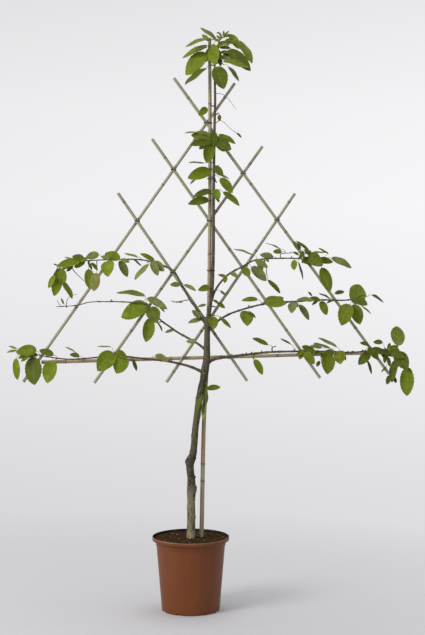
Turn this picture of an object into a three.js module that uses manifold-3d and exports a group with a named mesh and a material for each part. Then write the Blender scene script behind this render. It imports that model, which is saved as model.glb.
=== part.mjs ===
// A young sweet cherry trained flat as a three-tier espalier, standing in a round nursery pot.
// The trunk leans to a graft kink and runs up through the leaves as a slender leader. Three arms leave
// it on each side, low, middle and high, and carry spurs with bunches of drooping leaves. The tree is
// trained on a frame of eight bamboo canes that stands in the same pot and is held by small wire ties.
// Millimetres, +Z up, +X along the flat of the espalier, +Y towards its back. The origin is the centre
// of the pot's flat underside.

import * as THREE from 'three';
import { mergeVertices } from 'three/addons/utils/BufferGeometryUtils.js';
import Module from 'manifold-3d';

const wasm = await Module();
wasm.setup();

// Clearance between pieces that touch, and the extra room that a leaf keeps to everything else.
const GAP = 0.3;
const LEAF_ROOM = 0.4;
// Facets flatter than this are merged where leaves and twigs join.
const FACET = 0.1;

// Pot: a tapered 7.5 litre nursery pot whose wall steps out to a collar at the rim, with a small shoulder
// lower down and drain notches round its foot.
const POT = {
  height: 232,
  footRadius: 88.5,
  footEdge: 2,
  wallRadius: 107,
  shoulderHeight: 204,
  shoulderStep: 2,
  rimRadius: 120,
  rimDepth: 11,
  rimEdge: 1.5,
  wall: 1.6,
  floor: 7,
  sides: 36,
};
const NOTCH = { count: 8, width: 20, height: 5, inner: 82, outer: 95 };

// Compost fills the pot to just above the ledge inside its collar.
const SOIL_TOP = 226;
const GROUND = SOIL_TOP + GAP;

// Trunk centre line and radius as [x, z, radius], from the flat cut on the compost to the leader's tip.
const TRUNK = [
  [1, GROUND, 16],
  [1, GROUND + 14, 13.6],
  [1.5, 282, 12.9],
  [1.5, 345, 12.2],
  [2, 376, 14],
  [1, 415, 11],
  [-2, 455, 12.2],
  [0, 471, 14.4],
  [7, 489, 11],
  [10, 510, 10.5],
  [14.5, 566, 10.2],
  [22, 628, 10.3],
  [32, 691, 11],
  [40, 722, 11.5],
  [44.5, 753, 12.6],
  [49.5, 785, 10.8],
  [51, 847, 9.5],
  [52.5, 890, 8.8],
  [56, 925, 7.2],
  [63, 971, 5.7],
  [67, 1010, 5.3],
  [70.5, 1126, 5],
  [71, 1280, 4.7],
  [74, 1494, 4.1],
  [76, 1586, 3.7],
  [75, 1692, 3],
  [79, 1734, 2.2],
  [90, 1768, 1.7],
];
const TRUNK_SIDES = 12;

// The frame's canes stand in layers behind the tree, one cane thick and GAP apart.
const CANE_RADIUS = 5;
const LEVEL_RADIUS = 6;
const UPRIGHT = {
  depth: 20,
  radii: [6.8, 5.3],
  line: [[33.5, GROUND], [41.5, 595], [50, 760], [57.5, 1000], [60.3, 1495], [59, 1776]],
};
const UPRIGHT_AT_CROSSINGS = 6.2;
const FALL_DEPTH = UPRIGHT.depth + UPRIGHT_AT_CROSSINGS + CANE_RADIUS + GAP;
const RISE_DEPTH = FALL_DEPTH + 2 * CANE_RADIUS + GAP;
const LEVEL_DEPTH = RISE_DEPTH + CANE_RADIUS + LEVEL_RADIUS + GAP;
const CANES = {
  cane_rise_1: { ends: [[-524, 712], [137, 1640]], depth: RISE_DEPTH, radius: CANE_RADIUS },
  cane_rise_2: { ends: [[-302, 709], [223, 1446]], depth: RISE_DEPTH, radius: CANE_RADIUS },
  cane_rise_3: { ends: [[-76, 711], [324, 1300]], depth: RISE_DEPTH, radius: CANE_RADIUS },
  cane_fall_1: { ends: [[-51, 1655], [619, 738]], depth: FALL_DEPTH, radius: CANE_RADIUS },
  cane_fall_2: { ends: [[-119, 1468], [404, 725]], depth: FALL_DEPTH, radius: CANE_RADIUS },
  cane_fall_3: { ends: [[-225, 1301], [176, 716]], depth: FALL_DEPTH, radius: CANE_RADIUS },
  cane_level: { ends: [[-468, 776], [592, 803]], depth: LEVEL_DEPTH, radius: LEVEL_RADIUS },
};
const CANE_SIDES = 10;

// Wire ties: a flat loop round whatever it holds, with its opening along the line between its canes.
const TIE = { width: 4, thickness: 1.6 };
const CROSSING_TIES = [
  ['cane_rise_1', 'cane_fall_1'],
  ['cane_rise_1', 'cane_fall_2'],
  ['cane_rise_1', 'cane_fall_3'],
  ['cane_rise_2', 'cane_fall_1'],
  ['cane_rise_2', 'cane_fall_2'],
  ['cane_rise_2', 'cane_fall_3'],
  ['cane_rise_3', 'cane_fall_1'],
  ['cane_rise_3', 'cane_fall_2'],
  ['cane_level', 'cane_rise_1'],
  ['cane_level', 'cane_rise_2'],
  ['cane_level', 'cane_rise_3'],
  ['cane_level', 'cane_fall_1'],
  ['cane_level', 'cane_fall_2'],
  ['cane_level', 'cane_fall_3'],
];
// These crossings lie beside the upright cane, which their loop holds too.
const UPRIGHT_TIES = ['cane_rise_1 cane_fall_1', 'cane_rise_2 cane_fall_2'];
const LEADER_TIES = [1062, 1345];

// Arms: [x, z] bends from the trunk's axis to the tip, how far each stands back at its outer end, its
// radii at the trunk, where its leaves begin and at the tip, and how long its bare inner limb is.
// Each row of leaves is [distance past the bare limb, leaves, first direction, last direction, length]:
// a short spur at that distance with blades fanned between the two directions, in degrees from +X.
const ARMS = {
  left_low: {
    seed: 101,
    bends: [[44, 744], [-2, 763], [-64, 777], [-126, 786], [-188, 794], [-225, 798], [-296, 794],
      [-374, 789], [-436, 794], [-483, 800], [-520, 812]],
    depth: 30,
    radii: [5, 3.2, 1.6],
    bare: 236,
    leaves: [[8, 1, 290, 290, 38], [42, 4, 155, 252, 68], [165, 2, 150, 175, 44], [232, 2, 162, 262, 62],
      [272, 2, 110, 277, 58], [298, 3, 185, 278, 76], [332, 3, 172, 268, 58]],
  },
  left_middle: {
    seed: 102,
    bends: [[49, 815], [14, 840], [-39, 870], [-64, 887], [-95, 910], [-119, 937], [-134, 956],
      [-165, 962], [-234, 967], [-317, 965], [-352, 955], [-420, 948]],
    depth: 30,
    radii: [4.6, 3, 1.1],
    bare: 208,
    leaves: [[14, 3, 262, 338, 74], [24, 4, 176, 268, 84], [50, 1, 176, 176, 80]],
  },
  left_high: {
    seed: 103,
    bends: [[53, 890], [29, 921], [14, 949], [-2, 971], [-32, 1027], [-51, 1058], [-79, 1076],
      [-110, 1088], [-156, 1097], [-218, 1098], [-280, 1094], [-357, 1089], [-412, 1080]],
    depth: 22,
    radii: [4.6, 3.6, 1.3],
    bare: 112,
    leaves: [[38, 2, 177, 333, 36], [170, 3, 156, 318, 58], [212, 2, 162, 325, 36],
      [262, 4, 172, 352, 52], [322, 3, 180, 278, 60], [365, 3, 165, 262, 50], [436, 4, 195, 304, 70]],
  },
  right_low: {
    seed: 104,
    bends: [[48, 771], [70, 785], [122, 794], [184, 803], [246, 811], [308, 814], [432, 811],
      [495, 808], [556, 812], [612, 812], [650, 806], [674, 786]],
    depth: 22,
    radii: [5, 3.4, 1.9],
    bare: 142,
    leaves: [[14, 1, 297, 297, 54], [62, 2, 30, 153, 52], [150, 4, 157, 349, 48], [252, 4, 153, 292, 62],
      [312, 2, 205, 330, 40], [372, 4, 159, 300, 52], [404, 3, 238, 330, 62], [440, 3, 330, 455, 62],
      [468, 2, 215, 235, 66], [496, 2, 262, 285, 84]],
  },
  right_middle: {
    seed: 105,
    bends: [[52, 872], [85, 906], [122, 929], [147, 938], [190, 951], [234, 960], [292, 964],
      [354, 968], [416, 971], [478, 970], [514, 973]],
    depth: 22,
    radii: [4.2, 2.7, 1.3],
    bare: 116,
    leaves: [[38, 3, 181, 300, 44], [84, 2, 250, 347, 58], [168, 4, 200, 378, 50], [262, 3, 155, 297, 50],
      [300, 2, 25, 240, 36], [340, 4, 222, 320, 66], [362, 4, 318, 415, 48]],
  },
  right_high: {
    seed: 106,
    bends: [[64, 970], [74, 996], [97, 1030], [122, 1053], [156, 1071], [190, 1090], [209, 1095],
      [261, 1099], [344, 1098], [404, 1092]],
    depth: 22,
    radii: [4, 3.3, 1.3],
    bare: 50,
    leaves: [[24, 2, 200, 340, 30], [58, 2, 250, 395, 32], [98, 2, 228, 330, 36], [140, 4, 163, 313, 60],
      [216, 4, 159, 283, 50], [234, 2, 62, 112, 48], [292, 2, 149, 190, 46], [326, 5, 284, 395, 72]],
  },
};
const ARM_SIDES = 8;

// Spurs on the trunk and leader: [height, heading of the stem, stem length], then rows of leaves as on
// the arms, with their distance counted from the trunk's axis.
const SPURS = {
  spur_trunk: { seed: 201, stem: [692, 15, 26], leaves: [[17, 2, 258, 280, 62], [24, 1, 2, 2, 40]] },
  spur_fork_left: { seed: 202, stem: [915, 170, 20], leaves: [[18, 2, 140, 190, 48]] },
  spur_fork_right: { seed: 203, stem: [929, 340, 20], leaves: [[17, 3, 268, 332, 46]] },
  spur_inner_left: { seed: 204, stem: [1005, 165, 17], leaves: [[15, 2, 166, 205, 42]] },
  spur_inner_right: { seed: 205, stem: [953, 348, 20], leaves: [[17, 2, 316, 360, 34]] },
  spur_low_left: { seed: 206, stem: [1298, 172, 14], leaves: [[12, 3, 190, 240, 66]] },
  spur_low_right: { seed: 207, stem: [1308, 12, 14], leaves: [[12, 3, 296, 338, 64]] },
  spur_mid_left: { seed: 208, stem: [1372, 165, 14], leaves: [[12, 3, 182, 232, 70]] },
  spur_mid_right: { seed: 209, stem: [1382, 14, 14], leaves: [[12, 3, 292, 338, 60]] },
  spur_high_left: { seed: 210, stem: [1462, 160, 14], leaves: [[9, 2, 246, 266, 70], [12, 3, 172, 214, 68]] },
  spur_high_right: { seed: 211, stem: [1466, 18, 14], leaves: [[9, 2, 272, 300, 66], [12, 3, 316, 350, 58]] },
  spur_upper_left: { seed: 212, stem: [1566, 168, 12], leaves: [[10, 2, 196, 222, 42]] },
  spur_upper_right: { seed: 213, stem: [1540, 25, 14], leaves: [[12, 2, 312, 340, 36]] },
  crown_low_left: { seed: 214, stem: [1690, 170, 14], leaves: [[8, 1, 262, 262, 52], [12, 3, 200, 226, 74]] },
  crown_low_right: { seed: 215, stem: [1696, 12, 14], leaves: [[8, 2, 282, 300, 76], [12, 2, 318, 338, 70]] },
  crown_left: { seed: 216, stem: [1740, 162, 20], leaves: [[11, 2, 240, 262, 70], [18, 4, 186, 228, 84]] },
  crown_right: { seed: 217, stem: [1746, 25, 20], leaves: [[11, 3, 270, 300, 70], [18, 4, 306, 342, 80]] },
  crown_tip: { seed: 218, stem: [1768, 70, 8], leaves: [[4, 4, 188, 345, 58], [7, 3, 30, 150, 28]] },
};
const SPUR_RADII = [2.2, 1.5];

// Leaf: a thin ovate blade, ridged along its midrib and drooping, on a slender stalk. Its ring widths
// are set for three sides, so they are a little over the half width.
const LEAF = {
  stalk: 0.22,
  rootRadius: 0.5,
  stalkRadius: 0.8,
  stalkLift: 0.7,
  halfWidth: 0.3,
  halfThickness: 1 / 150,
  droop: 0.3,
  blade: [[0.28, 0.92], [0.62, 0.88], [1, 0]],
};
const TWIG = { onArm: 10, onTrunk: 5, radius: 2.2, tip: 1.8, rise: 0.6 };
// No leaf reaches further forward or back than this.
const SPACE = { front: -104, back: 98 };
// Seeded unevenness: degrees of direction, degrees of lean towards the back, and share of length.
const JITTER = { turn: 9, lean: 44, escape: 24, forward: 8, length: 0.12 };

const FINISH = {
  pot: { color: 0x9a5a3a, roughness: 0.5 },
  soil: { color: 0x2a211a, roughness: 1 },
  bark: { color: 0x5a5145, roughness: 0.85 },
  cane: { color: 0x9c9078, roughness: 0.6 },
  tie: { color: 0x1d1a17, roughness: 0.5 },
  leaf: { color: 0x5f7a22, roughness: 0.6 },
};

const espalier = new THREE.Group();
const taken = [];

function toSolid(geometry) {
  geometry.deleteAttribute('normal');
  geometry.deleteAttribute('uv');
  const merged = mergeVertices(geometry, 1e-4);
  const corners = merged.index.array;
  const kept = [];
  for (let i = 0; i < corners.length; i += 3) {
    const [a, b, c] = corners.subarray(i, i + 3);
    if (a !== b && b !== c && c !== a) kept.push(a, b, c);
  }
  const vertProperties = Float32Array.from(merged.attributes.position.array);
  return new wasm.Manifold(new wasm.Mesh({ numProp: 3, vertProperties, triVerts: Uint32Array.from(kept) }));
}

function largest(solid) {
  return solid.decompose().reduce((best, one) => (one.volume() > best.volume() ? one : best));
}

function addPiece(name, solid, finish) {
  const { vertProperties, triVerts } = solid.getMesh();
  const geometry = new THREE.BufferGeometry();
  geometry.setAttribute('position', new THREE.BufferAttribute(vertProperties, 3));
  geometry.setIndex(new THREE.BufferAttribute(triVerts, 1));
  geometry.computeVertexNormals();
  const mesh = new THREE.Mesh(geometry, new THREE.MeshStandardMaterial({ metalness: 0, ...finish }));
  mesh.name = name;
  espalier.add(mesh);
  taken.push({ solid, box: solid.boundingBox() });
}

function touchesAnything(solid) {
  const mine = solid.boundingBox();
  const meets = ({ box }) => [0, 1, 2].every((k) => mine.min[k] < box.max[k] && mine.max[k] > box.min[k]);
  return taken.some((other) => meets(other) && !solid.intersect(other.solid).isEmpty());
}

// A closed skin through a row of rings. Each ring has a centre, an axis across and one up, and its
// half width and half thickness along them.
function skin(rings, sides) {
  const geometry = new THREE.CylinderGeometry(1, 1, 1, sides, rings.length - 1);
  const place = geometry.attributes.position;
  for (let i = 0; i < place.count; i += 1) {
    const [x, y, z] = [place.getX(i), place.getY(i), place.getZ(i)];
    const { centre, across, up, width, thick } = rings[Math.round((y + 0.5) * (rings.length - 1))];
    const spot = centre.clone().addScaledVector(across, x * width).addScaledVector(up, z * thick);
    place.setXYZ(i, spot.x, spot.y, spot.z);
  }
  return toSolid(geometry);
}

// A round limb along a stretch of a curve, from and to in millimetres along it.
function limb(curve, from, to, radiusAt, sides, step) {
  const length = curve.getLength();
  const count = Math.max(1, Math.round((to - from) / step));
  const rings = [];
  for (let i = 0; i <= count; i += 1) {
    const distance = from + ((to - from) * i) / count;
    const share = THREE.MathUtils.clamp(distance / length, 0, 1);
    const along = curve.getTangentAt(share);
    const across = new THREE.Vector3(0, 1, 0).addScaledVector(along, -along.y).normalize();
    const up = new THREE.Vector3().crossVectors(across, along);
    const radius = radiusAt(distance);
    rings.push({ centre: curve.getPointAt(share), across, up, width: radius, thick: radius });
  }
  return skin(rings, sides);
}

function curveThrough(points) {
  const curve = new THREE.CatmullRomCurve3(points, false, 'centripetal');
  curve.arcLengthDivisions = 400;
  return curve;
}

// Straight-line reading of a table of rows at one value of its key column.
function readTable(rows, key, value, column) {
  const above = rows.findIndex((row) => row[key] > value);
  const next = above < 0 ? rows.length - 1 : Math.max(above, 1);
  const [low, high] = [rows[next - 1], rows[next]];
  const share = THREE.MathUtils.clamp((value - low[key]) / (high[key] - low[key]), 0, 1);
  return THREE.MathUtils.lerp(low[column], high[column], share);
}

function trunkAt(height) {
  return { x: readTable(TRUNK, 1, height, 0), radius: readTable(TRUNK, 1, height, 2) };
}

function buildPot() {
  const { height, footRadius, footEdge, wallRadius, shoulderHeight, shoulderStep, rimRadius } = POT;
  const { rimDepth, rimEdge, wall, floor, sides } = POT;
  const lip = height - rimDepth;
  const shoulder = wallRadius + shoulderStep;
  const outer = [
    [0, 0], [footRadius - footEdge, 0], [footRadius, footEdge], [wallRadius, shoulderHeight],
    [shoulder, shoulderHeight + shoulderStep], [shoulder, lip], [rimRadius - rimEdge, lip],
    [rimRadius, lip + rimEdge], [rimRadius, height],
  ];
  const inner = [
    [rimRadius - wall, height], [rimRadius - wall, lip + wall], [shoulder - wall, lip + wall],
    [wallRadius - wall, shoulderHeight], [footRadius - wall, floor], [0, floor],
  ];
  const profile = [...outer, ...inner].map(([r, z]) => new THREE.Vector2(r, z));
  let pot = toSolid(new THREE.LatheGeometry(profile, sides).rotateX(Math.PI / 2));
  for (let i = 0; i < NOTCH.count; i += 1) {
    const box = new THREE.BoxGeometry(NOTCH.outer - NOTCH.inner, NOTCH.width, 2 * NOTCH.height);
    box.translate((NOTCH.outer + NOTCH.inner) / 2, 0, 0).rotateZ(((i + 0.5) * 2 * Math.PI) / NOTCH.count);
    pot = pot.subtract(toSolid(box));
  }
  addPiece('pot', pot, FINISH.pot);
}

function buildSoil() {
  const { height, footRadius, wallRadius, shoulderHeight, rimRadius, rimDepth, wall, floor, sides } = POT;
  const inset = wall + GAP * 1.5;
  const ledge = height - rimDepth + wall + GAP;
  const profile = [
    [0, floor + GAP], [footRadius - inset, floor + GAP], [wallRadius - inset, shoulderHeight],
    [wallRadius - inset, ledge], [rimRadius - inset, ledge], [rimRadius - inset, SOIL_TOP], [0, SOIL_TOP],
  ].map(([r, z]) => new THREE.Vector2(r, z));
  addPiece('soil', toSolid(new THREE.LatheGeometry(profile, sides).rotateX(Math.PI / 2)), FINISH.soil);
}

// The trunk grown by a margin: with none it is the trunk itself, with GAP it cuts its neighbours clear.
function trunkSolid(margin) {
  const curve = curveThrough(TRUNK.map(([x, z]) => new THREE.Vector3(x, 0, z)));
  const rings = [];
  const stops = TRUNK.length - 1;
  for (let i = 0; i <= stops; i += 1) {
    const share = i / stops;
    const centre = curve.getPoint(share);
    const along = curve.getTangent(share);
    const up = new THREE.Vector3(0, 1, 0);
    const across = new THREE.Vector3().crossVectors(along, up);
    const radius = readTable(TRUNK.map((row, k) => [k / stops, row[2]]), 0, share, 1) + margin;
    if (i === stops) centre.addScaledVector(along, margin);
    rings.push({ centre, across, up, width: radius, thick: radius });
  }
  return skin(rings, TRUNK_SIDES);
}

function buildCanes() {
  for (const [name, { ends, depth, radius }] of Object.entries(CANES)) {
    const [[x0, z0], [x1, z1]] = ends;
    const run = new THREE.LineCurve3(new THREE.Vector3(x0, depth, z0), new THREE.Vector3(x1, depth, z1));
    const length = run.getLength();
    addPiece(name, limb(run, 0, length, () => radius, CANE_SIDES, length), FINISH.cane);
  }
  const run = curveThrough(UPRIGHT.line.map(([x, z]) => new THREE.Vector3(x, UPRIGHT.depth, z)));
  const length = run.getLength();
  const radiusAt = (distance) => THREE.MathUtils.lerp(...UPRIGHT.radii, distance / length);
  addPiece('cane_upright', limb(run, 0, length, radiusAt, CANE_SIDES, 190), FINISH.cane);
}

// What a tie can hold, as a straight stretch: a point [x, z], a unit direction, its depth and radius.
function heldCane(name) {
  const { ends: [[x0, z0], [x1, z1]], depth, radius } = CANES[name];
  const direction = new THREE.Vector2(x1 - x0, z1 - z0).normalize();
  return { point: new THREE.Vector2(x0, z0), direction, depth, radius };
}

function heldUpright(height) {
  const point = new THREE.Vector2(readTable(UPRIGHT.line, 1, height, 0), height);
  return { point, direction: new THREE.Vector2(0, 1), depth: UPRIGHT.depth, radius: UPRIGHT_AT_CROSSINGS };
}

function heldTrunk(height) {
  const { x, radius } = trunkAt(height);
  return { point: new THREE.Vector2(x, height), direction: new THREE.Vector2(0, 1), depth: 0, radius };
}

function crossingOf(a, b) {
  const between = b.point.clone().sub(a.point);
  const distance = between.cross(b.direction) / a.direction.cross(b.direction);
  return a.point.clone().addScaledVector(a.direction, distance);
}

// A flat loop whose opening runs along the middle line of what it holds, GAP clear all round.
function addTie(name, held, spot) {
  const axis = new THREE.Vector2();
  for (const { direction } of held) axis.addScaledVector(direction, direction.dot(held[0].direction) < 0 ? -1 : 1);
  axis.normalize();
  const side = new THREE.Vector2(axis.y, -axis.x);
  const reach = held.map(({ point, direction, radius }) => {
    const line = { point: spot, direction: side };
    const middle = crossingOf(line, { point, direction }).sub(spot).dot(side);
    const slant = Math.abs(direction.dot(axis));
    const shift = (TIE.width / 2) * Math.sqrt(1 / (slant * slant) - 1);
    return [middle - radius / slant - shift - GAP, middle + radius / slant + shift + GAP];
  });
  const left = Math.min(...reach.map(([low]) => low));
  const right = Math.max(...reach.map(([, high]) => high));
  const front = Math.min(...held.map(({ depth, radius }) => depth - radius)) - GAP;
  const back = Math.max(...held.map(({ depth, radius }) => depth + radius)) + GAP;
  const loop = (margin) => {
    const [w, e, s, n] = [left - margin, right + margin, front - margin, back + margin];
    const cut = Math.min(2.2, (right - left) / 4) + margin / 2;
    return [[w + cut, s], [e - cut, s], [e, s + cut], [e, n - cut], [e - cut, n], [w + cut, n], [w, n - cut],
      [w, s + cut]].map(([x, y]) => new THREE.Vector2(x, y));
  };
  const shape = new THREE.Shape(loop(TIE.thickness));
  shape.holes.push(new THREE.Path(loop(0)));
  const ring = new THREE.ExtrudeGeometry(shape, { depth: TIE.width, bevelEnabled: false });
  const angle = Math.atan2(axis.x, axis.y);
  ring.translate(0, 0, -TIE.width / 2).rotateY(angle).translate(spot.x, 0, spot.y);
  addPiece(name, toSolid(ring), FINISH.tie);
}

function buildTies() {
  CROSSING_TIES.forEach(([first, second], index) => {
    const held = [heldCane(first), heldCane(second)];
    const spot = crossingOf(...held);
    if (UPRIGHT_TIES.includes(`${first} ${second}`)) held.push(heldUpright(spot.y));
    addTie(`tie_${index + 1}`, held, spot);
  });
  LEADER_TIES.forEach((height, index) => {
    const held = [heldTrunk(height), heldUpright(height)];
    addTie(`tie_leader_${index + 1}`, held, held[0].point);
  });
}

// A leaf from its root on a twig: its stalk rises a little, then the blade runs along its direction.
// With no stalk it is the blade alone.
function leafSolid(root, direction, face, length, swell, stalked = true) {
  const lifted = direction.clone().setZ(direction.z + LEAF.stalkLift).normalize();
  const base = root.clone().addScaledVector(lifted, LEAF.stalk * length);
  const up = face.clone().addScaledVector(direction, -face.dot(direction)).normalize();
  const across = new THREE.Vector3().crossVectors(direction, up);
  const sag = new THREE.Vector3(0, 0, -1).addScaledVector(direction, direction.z);
  const stalk = (centre, radius) => ({ centre, across, up, width: radius + swell, thick: radius + swell });
  const blade = LEAF.blade.map(([share, wide]) => ({
    centre: base.clone().addScaledVector(direction, share * length)
      .addScaledVector(sag, LEAF.droop * share * share * length),
    across,
    up,
    width: wide * LEAF.halfWidth * length + (wide > 0 ? swell : 0),
    thick: wide > 0 ? LEAF.halfThickness * length + swell : 0,
  }));
  const neck = [stalk(root, LEAF.rootRadius), stalk(base, LEAF.stalkRadius)];
  return skin(stalked ? [...neck, ...blade] : blade, 3);
}

function inSpace(solid) {
  const { min, max } = solid.boundingBox();
  return min[1] > SPACE.front && max[1] < SPACE.back;
}

// One bunch on a mass's stem: a short twig and its leaves. A leaf that would touch a limb or another
// mass or leave the space leans the other way, then well forward, and is skipped if neither clears it.
// It also keeps out of the blades of its own mass where one of the three ways lets it.
function bunch(stem, twigLength, seed, blades, [distance, leaves, first, last, length]) {
  const random = THREE.MathUtils.seededRandom;
  const { degToRad } = THREE.MathUtils;
  random(seed);
  const root = stem.getPointAt(Math.min(1, distance / stem.getLength()));
  const heading = degToRad((first + last) / 2);
  const twigLean = (random() - 0.5) * 1.4;
  const rise = 0.3 * Math.sin(heading) + TWIG.rise;
  const tip = root.clone().add(new THREE.Vector3(Math.cos(heading), twigLean, rise).setLength(twigLength));
  const line = new THREE.LineCurve3(root, tip);
  const twig = limb(line, 0, twigLength, (at) => (at > 0 ? TWIG.tip : TWIG.radius), 3, twigLength);
  if (touchesAnything(twig)) return [];
  const pieces = [twig];
  for (let i = 0; i < leaves; i += 1) {
    const share = leaves > 1 ? i / (leaves - 1) : 0;
    const start = root.clone().lerp(tip, 1 - (0.75 * i) / leaves);
    const turn = degToRad(THREE.MathUtils.lerp(first, last, share) + (random() - 0.5) * 2 * JITTER.turn);
    const lean = degToRad((random() - 0.5) * 2 * JITTER.lean);
    const tilt = degToRad(15 + 65 * random());
    const twist = (random() - 0.5) * 0.8;
    const size = length * (1 + (random() - 0.5) * 2 * JITTER.length);
    const face = new THREE.Vector3(twist, -Math.cos(tilt), Math.sin(tilt));
    const ways = [lean, -lean, -Math.abs(lean) - degToRad(JITTER.escape)].map((way) => {
      const back = way - degToRad(JITTER.forward);
      return new THREE.Vector3(Math.cos(turn) * Math.cos(back), Math.sin(back), Math.sin(turn) * Math.cos(back));
    }).filter((direction) => {
      const wide = leafSolid(start, direction, face, size, LEAF_ROOM);
      return inSpace(wide) && !touchesAnything(wide);
    });
    if (ways.length === 0) continue;
    const clear = ways.find((direction) => {
      const blade = leafSolid(start, direction, face, size, 0, false);
      return blades.every((other) => other.intersect(blade).isEmpty());
    });
    const direction = clear ?? ways[0];
    pieces.push(leafSolid(start, direction, face, size, 0));
    blades.push(leafSolid(start, direction, face, size, 0, false));
  }
  return pieces;
}

function foliage(name, seed, stemSolid, stem, start, twigLength, rows) {
  const blades = [];
  const pieces = rows.flatMap(([distance, ...row], index) => (
    bunch(stem, twigLength, 100 * seed + index, blades, [start + distance, ...row])));
  addPiece(name, largest(wasm.Manifold.union([stemSolid, ...pieces])).simplify(FACET), FINISH.leaf);
}

function buildTree() {
  addPiece('trunk', trunkSolid(0), FINISH.bark);
  const clearance = trunkSolid(GAP);
  const arms = Object.entries(ARMS).map(([name, arm]) => {
    const outer = Math.abs(arm.bends.at(-1)[0] - arm.bends[0][0]);
    const points = arm.bends.map(([x, z]) => {
      const share = Math.min(1, (4 * Math.abs(x - arm.bends[0][0])) / outer);
      return new THREE.Vector3(x, arm.depth * share, z);
    });
    const curve = curveThrough(points);
    const [base, middle, tip] = arm.radii;
    const rows = [[0, base], [arm.bare, middle], [curve.getLength(), tip]];
    return { name, ...arm, curve, radiusAt: (distance) => readTable(rows, 0, distance, 1) };
  });
  for (const { name, curve, bare, radiusAt } of arms) {
    const bough = limb(curve, 0, bare, radiusAt, ARM_SIDES, 24);
    addPiece(`bough_${name}`, largest(bough.subtract(clearance)), FINISH.bark);
  }
  buildCanes();
  buildTies();
  for (const { name, seed, curve, bare, radiusAt, leaves } of arms) {
    const stem = limb(curve, bare + GAP, curve.getLength(), radiusAt, 6, 40);
    foliage(`foliage_${name}`, seed, stem, curve, bare, TWIG.onArm, leaves);
  }
  for (const [name, { seed, stem: [height, heading, length], leaves }] of Object.entries(SPURS)) {
    const angle = THREE.MathUtils.degToRad(heading);
    const root = new THREE.Vector3(trunkAt(height).x, 0, height);
    const tip = root.clone().add(new THREE.Vector3(Math.cos(angle), -0.15, Math.sin(angle)).setLength(length));
    const curve = new THREE.LineCurve3(root, tip);
    const radiusAt = (distance) => THREE.MathUtils.lerp(...SPUR_RADII, distance / length);
    const stem = largest(limb(curve, 0, length, radiusAt, 5, length).subtract(clearance));
    foliage(`foliage_${name}`, seed, stem, curve, 0, TWIG.onTrunk, leaves);
  }
}

buildPot();
buildSoil();
buildTree();

export default espalier;
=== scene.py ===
"""A young sweet cherry trained flat as an espalier, in its nursery pot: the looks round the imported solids.

Trunk, arms and spurs follow the solids' courses, a little corrected against the photo. The leaves do not
grow in the solids' places: SPRAYS lists where each one that shows lies, as pixels read off by hand that a
scratch script turned into millimetres. A seeded rule like the solids' then hangs each leaf on its limb or
on a finer twig and sets its lean, droop, folds and stalk. Bark with its relief covers trunk and arms,
bamboo canes with their joints stand behind the tree, and compost fills the pot. Tables are in millimetres
and degrees; every mesh is in metres.
"""

from __future__ import annotations

import logging
import math
from dataclasses import dataclass
from enum import Enum
from typing import Callable, Iterator, Sequence

import bmesh
import bpy
from bmesh.types import BMesh, BMVert
from bpy.types import ID, Material, Mesh, Node, NodeOutputs, NodeSocket, NodeTree, Object
from mathutils import Matrix, Vector, noise
from mathutils.bvhtree import BVHTree


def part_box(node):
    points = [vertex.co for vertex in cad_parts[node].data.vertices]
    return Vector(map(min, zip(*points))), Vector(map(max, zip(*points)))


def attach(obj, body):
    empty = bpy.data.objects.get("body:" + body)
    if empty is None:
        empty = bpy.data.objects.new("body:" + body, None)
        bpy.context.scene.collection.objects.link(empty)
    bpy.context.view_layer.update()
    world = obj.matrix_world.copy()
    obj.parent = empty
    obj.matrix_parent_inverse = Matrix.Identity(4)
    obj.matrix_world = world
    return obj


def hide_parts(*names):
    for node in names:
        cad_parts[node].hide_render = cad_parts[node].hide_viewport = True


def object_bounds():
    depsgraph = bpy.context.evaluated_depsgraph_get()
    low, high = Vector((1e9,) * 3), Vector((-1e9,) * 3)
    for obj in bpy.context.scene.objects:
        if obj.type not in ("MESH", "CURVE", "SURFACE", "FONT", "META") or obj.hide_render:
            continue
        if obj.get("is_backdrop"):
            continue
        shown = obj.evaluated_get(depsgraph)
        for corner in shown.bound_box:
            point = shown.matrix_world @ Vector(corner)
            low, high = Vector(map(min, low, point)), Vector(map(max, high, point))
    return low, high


Pair = tuple[float, float]
Triple = tuple[float, float, float]
Colour = tuple[float, float, float, float]
Stop = tuple[float, Colour]

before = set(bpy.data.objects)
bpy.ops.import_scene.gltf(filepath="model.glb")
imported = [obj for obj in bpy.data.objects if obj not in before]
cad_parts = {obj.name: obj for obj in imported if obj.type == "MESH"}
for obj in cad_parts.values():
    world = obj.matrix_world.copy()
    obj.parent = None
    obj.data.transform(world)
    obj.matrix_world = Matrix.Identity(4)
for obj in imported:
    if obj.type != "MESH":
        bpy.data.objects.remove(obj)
SOLIDS_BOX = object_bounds()

LOG = logging.getLogger("espalier")
MM = 0.001
WELD = 1e-6
FULL_TURN = 2 * math.pi
DOWN = Vector((0, 0, -1))
BODY = "root"
SHOOT_SEEDS, BUD_SEEDS, TIE_SEEDS = 500, 700, 900
CANE_RING = "cane_ring"


def shade(red: int, green: int, blue: int) -> Colour:
    """Turns a colour as seen on a screen, 0 to 255, into the renderer's linear colour.

    Args:
        red: its red.
        green: its green.
        blue: its blue.

    Returns:
        The colour with full cover.
    """
    linear = []
    for value in (red, green, blue):
        share = value / 255
        linear.append(share / 12.92 if share <= 0.04045 else ((share + 0.055) / 1.055) ** 2.4)
    return (*linear, 1.0)


def bell(distance: float, width: float) -> float:
    """Height of a bell curve, 1 in its middle, at a distance from it."""
    return math.exp(-((distance / width) ** 2))


def lerp(low: float, high: float, share: float) -> float:
    """Straight-line blend of two numbers."""
    return low + (high - low) * share


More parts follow.
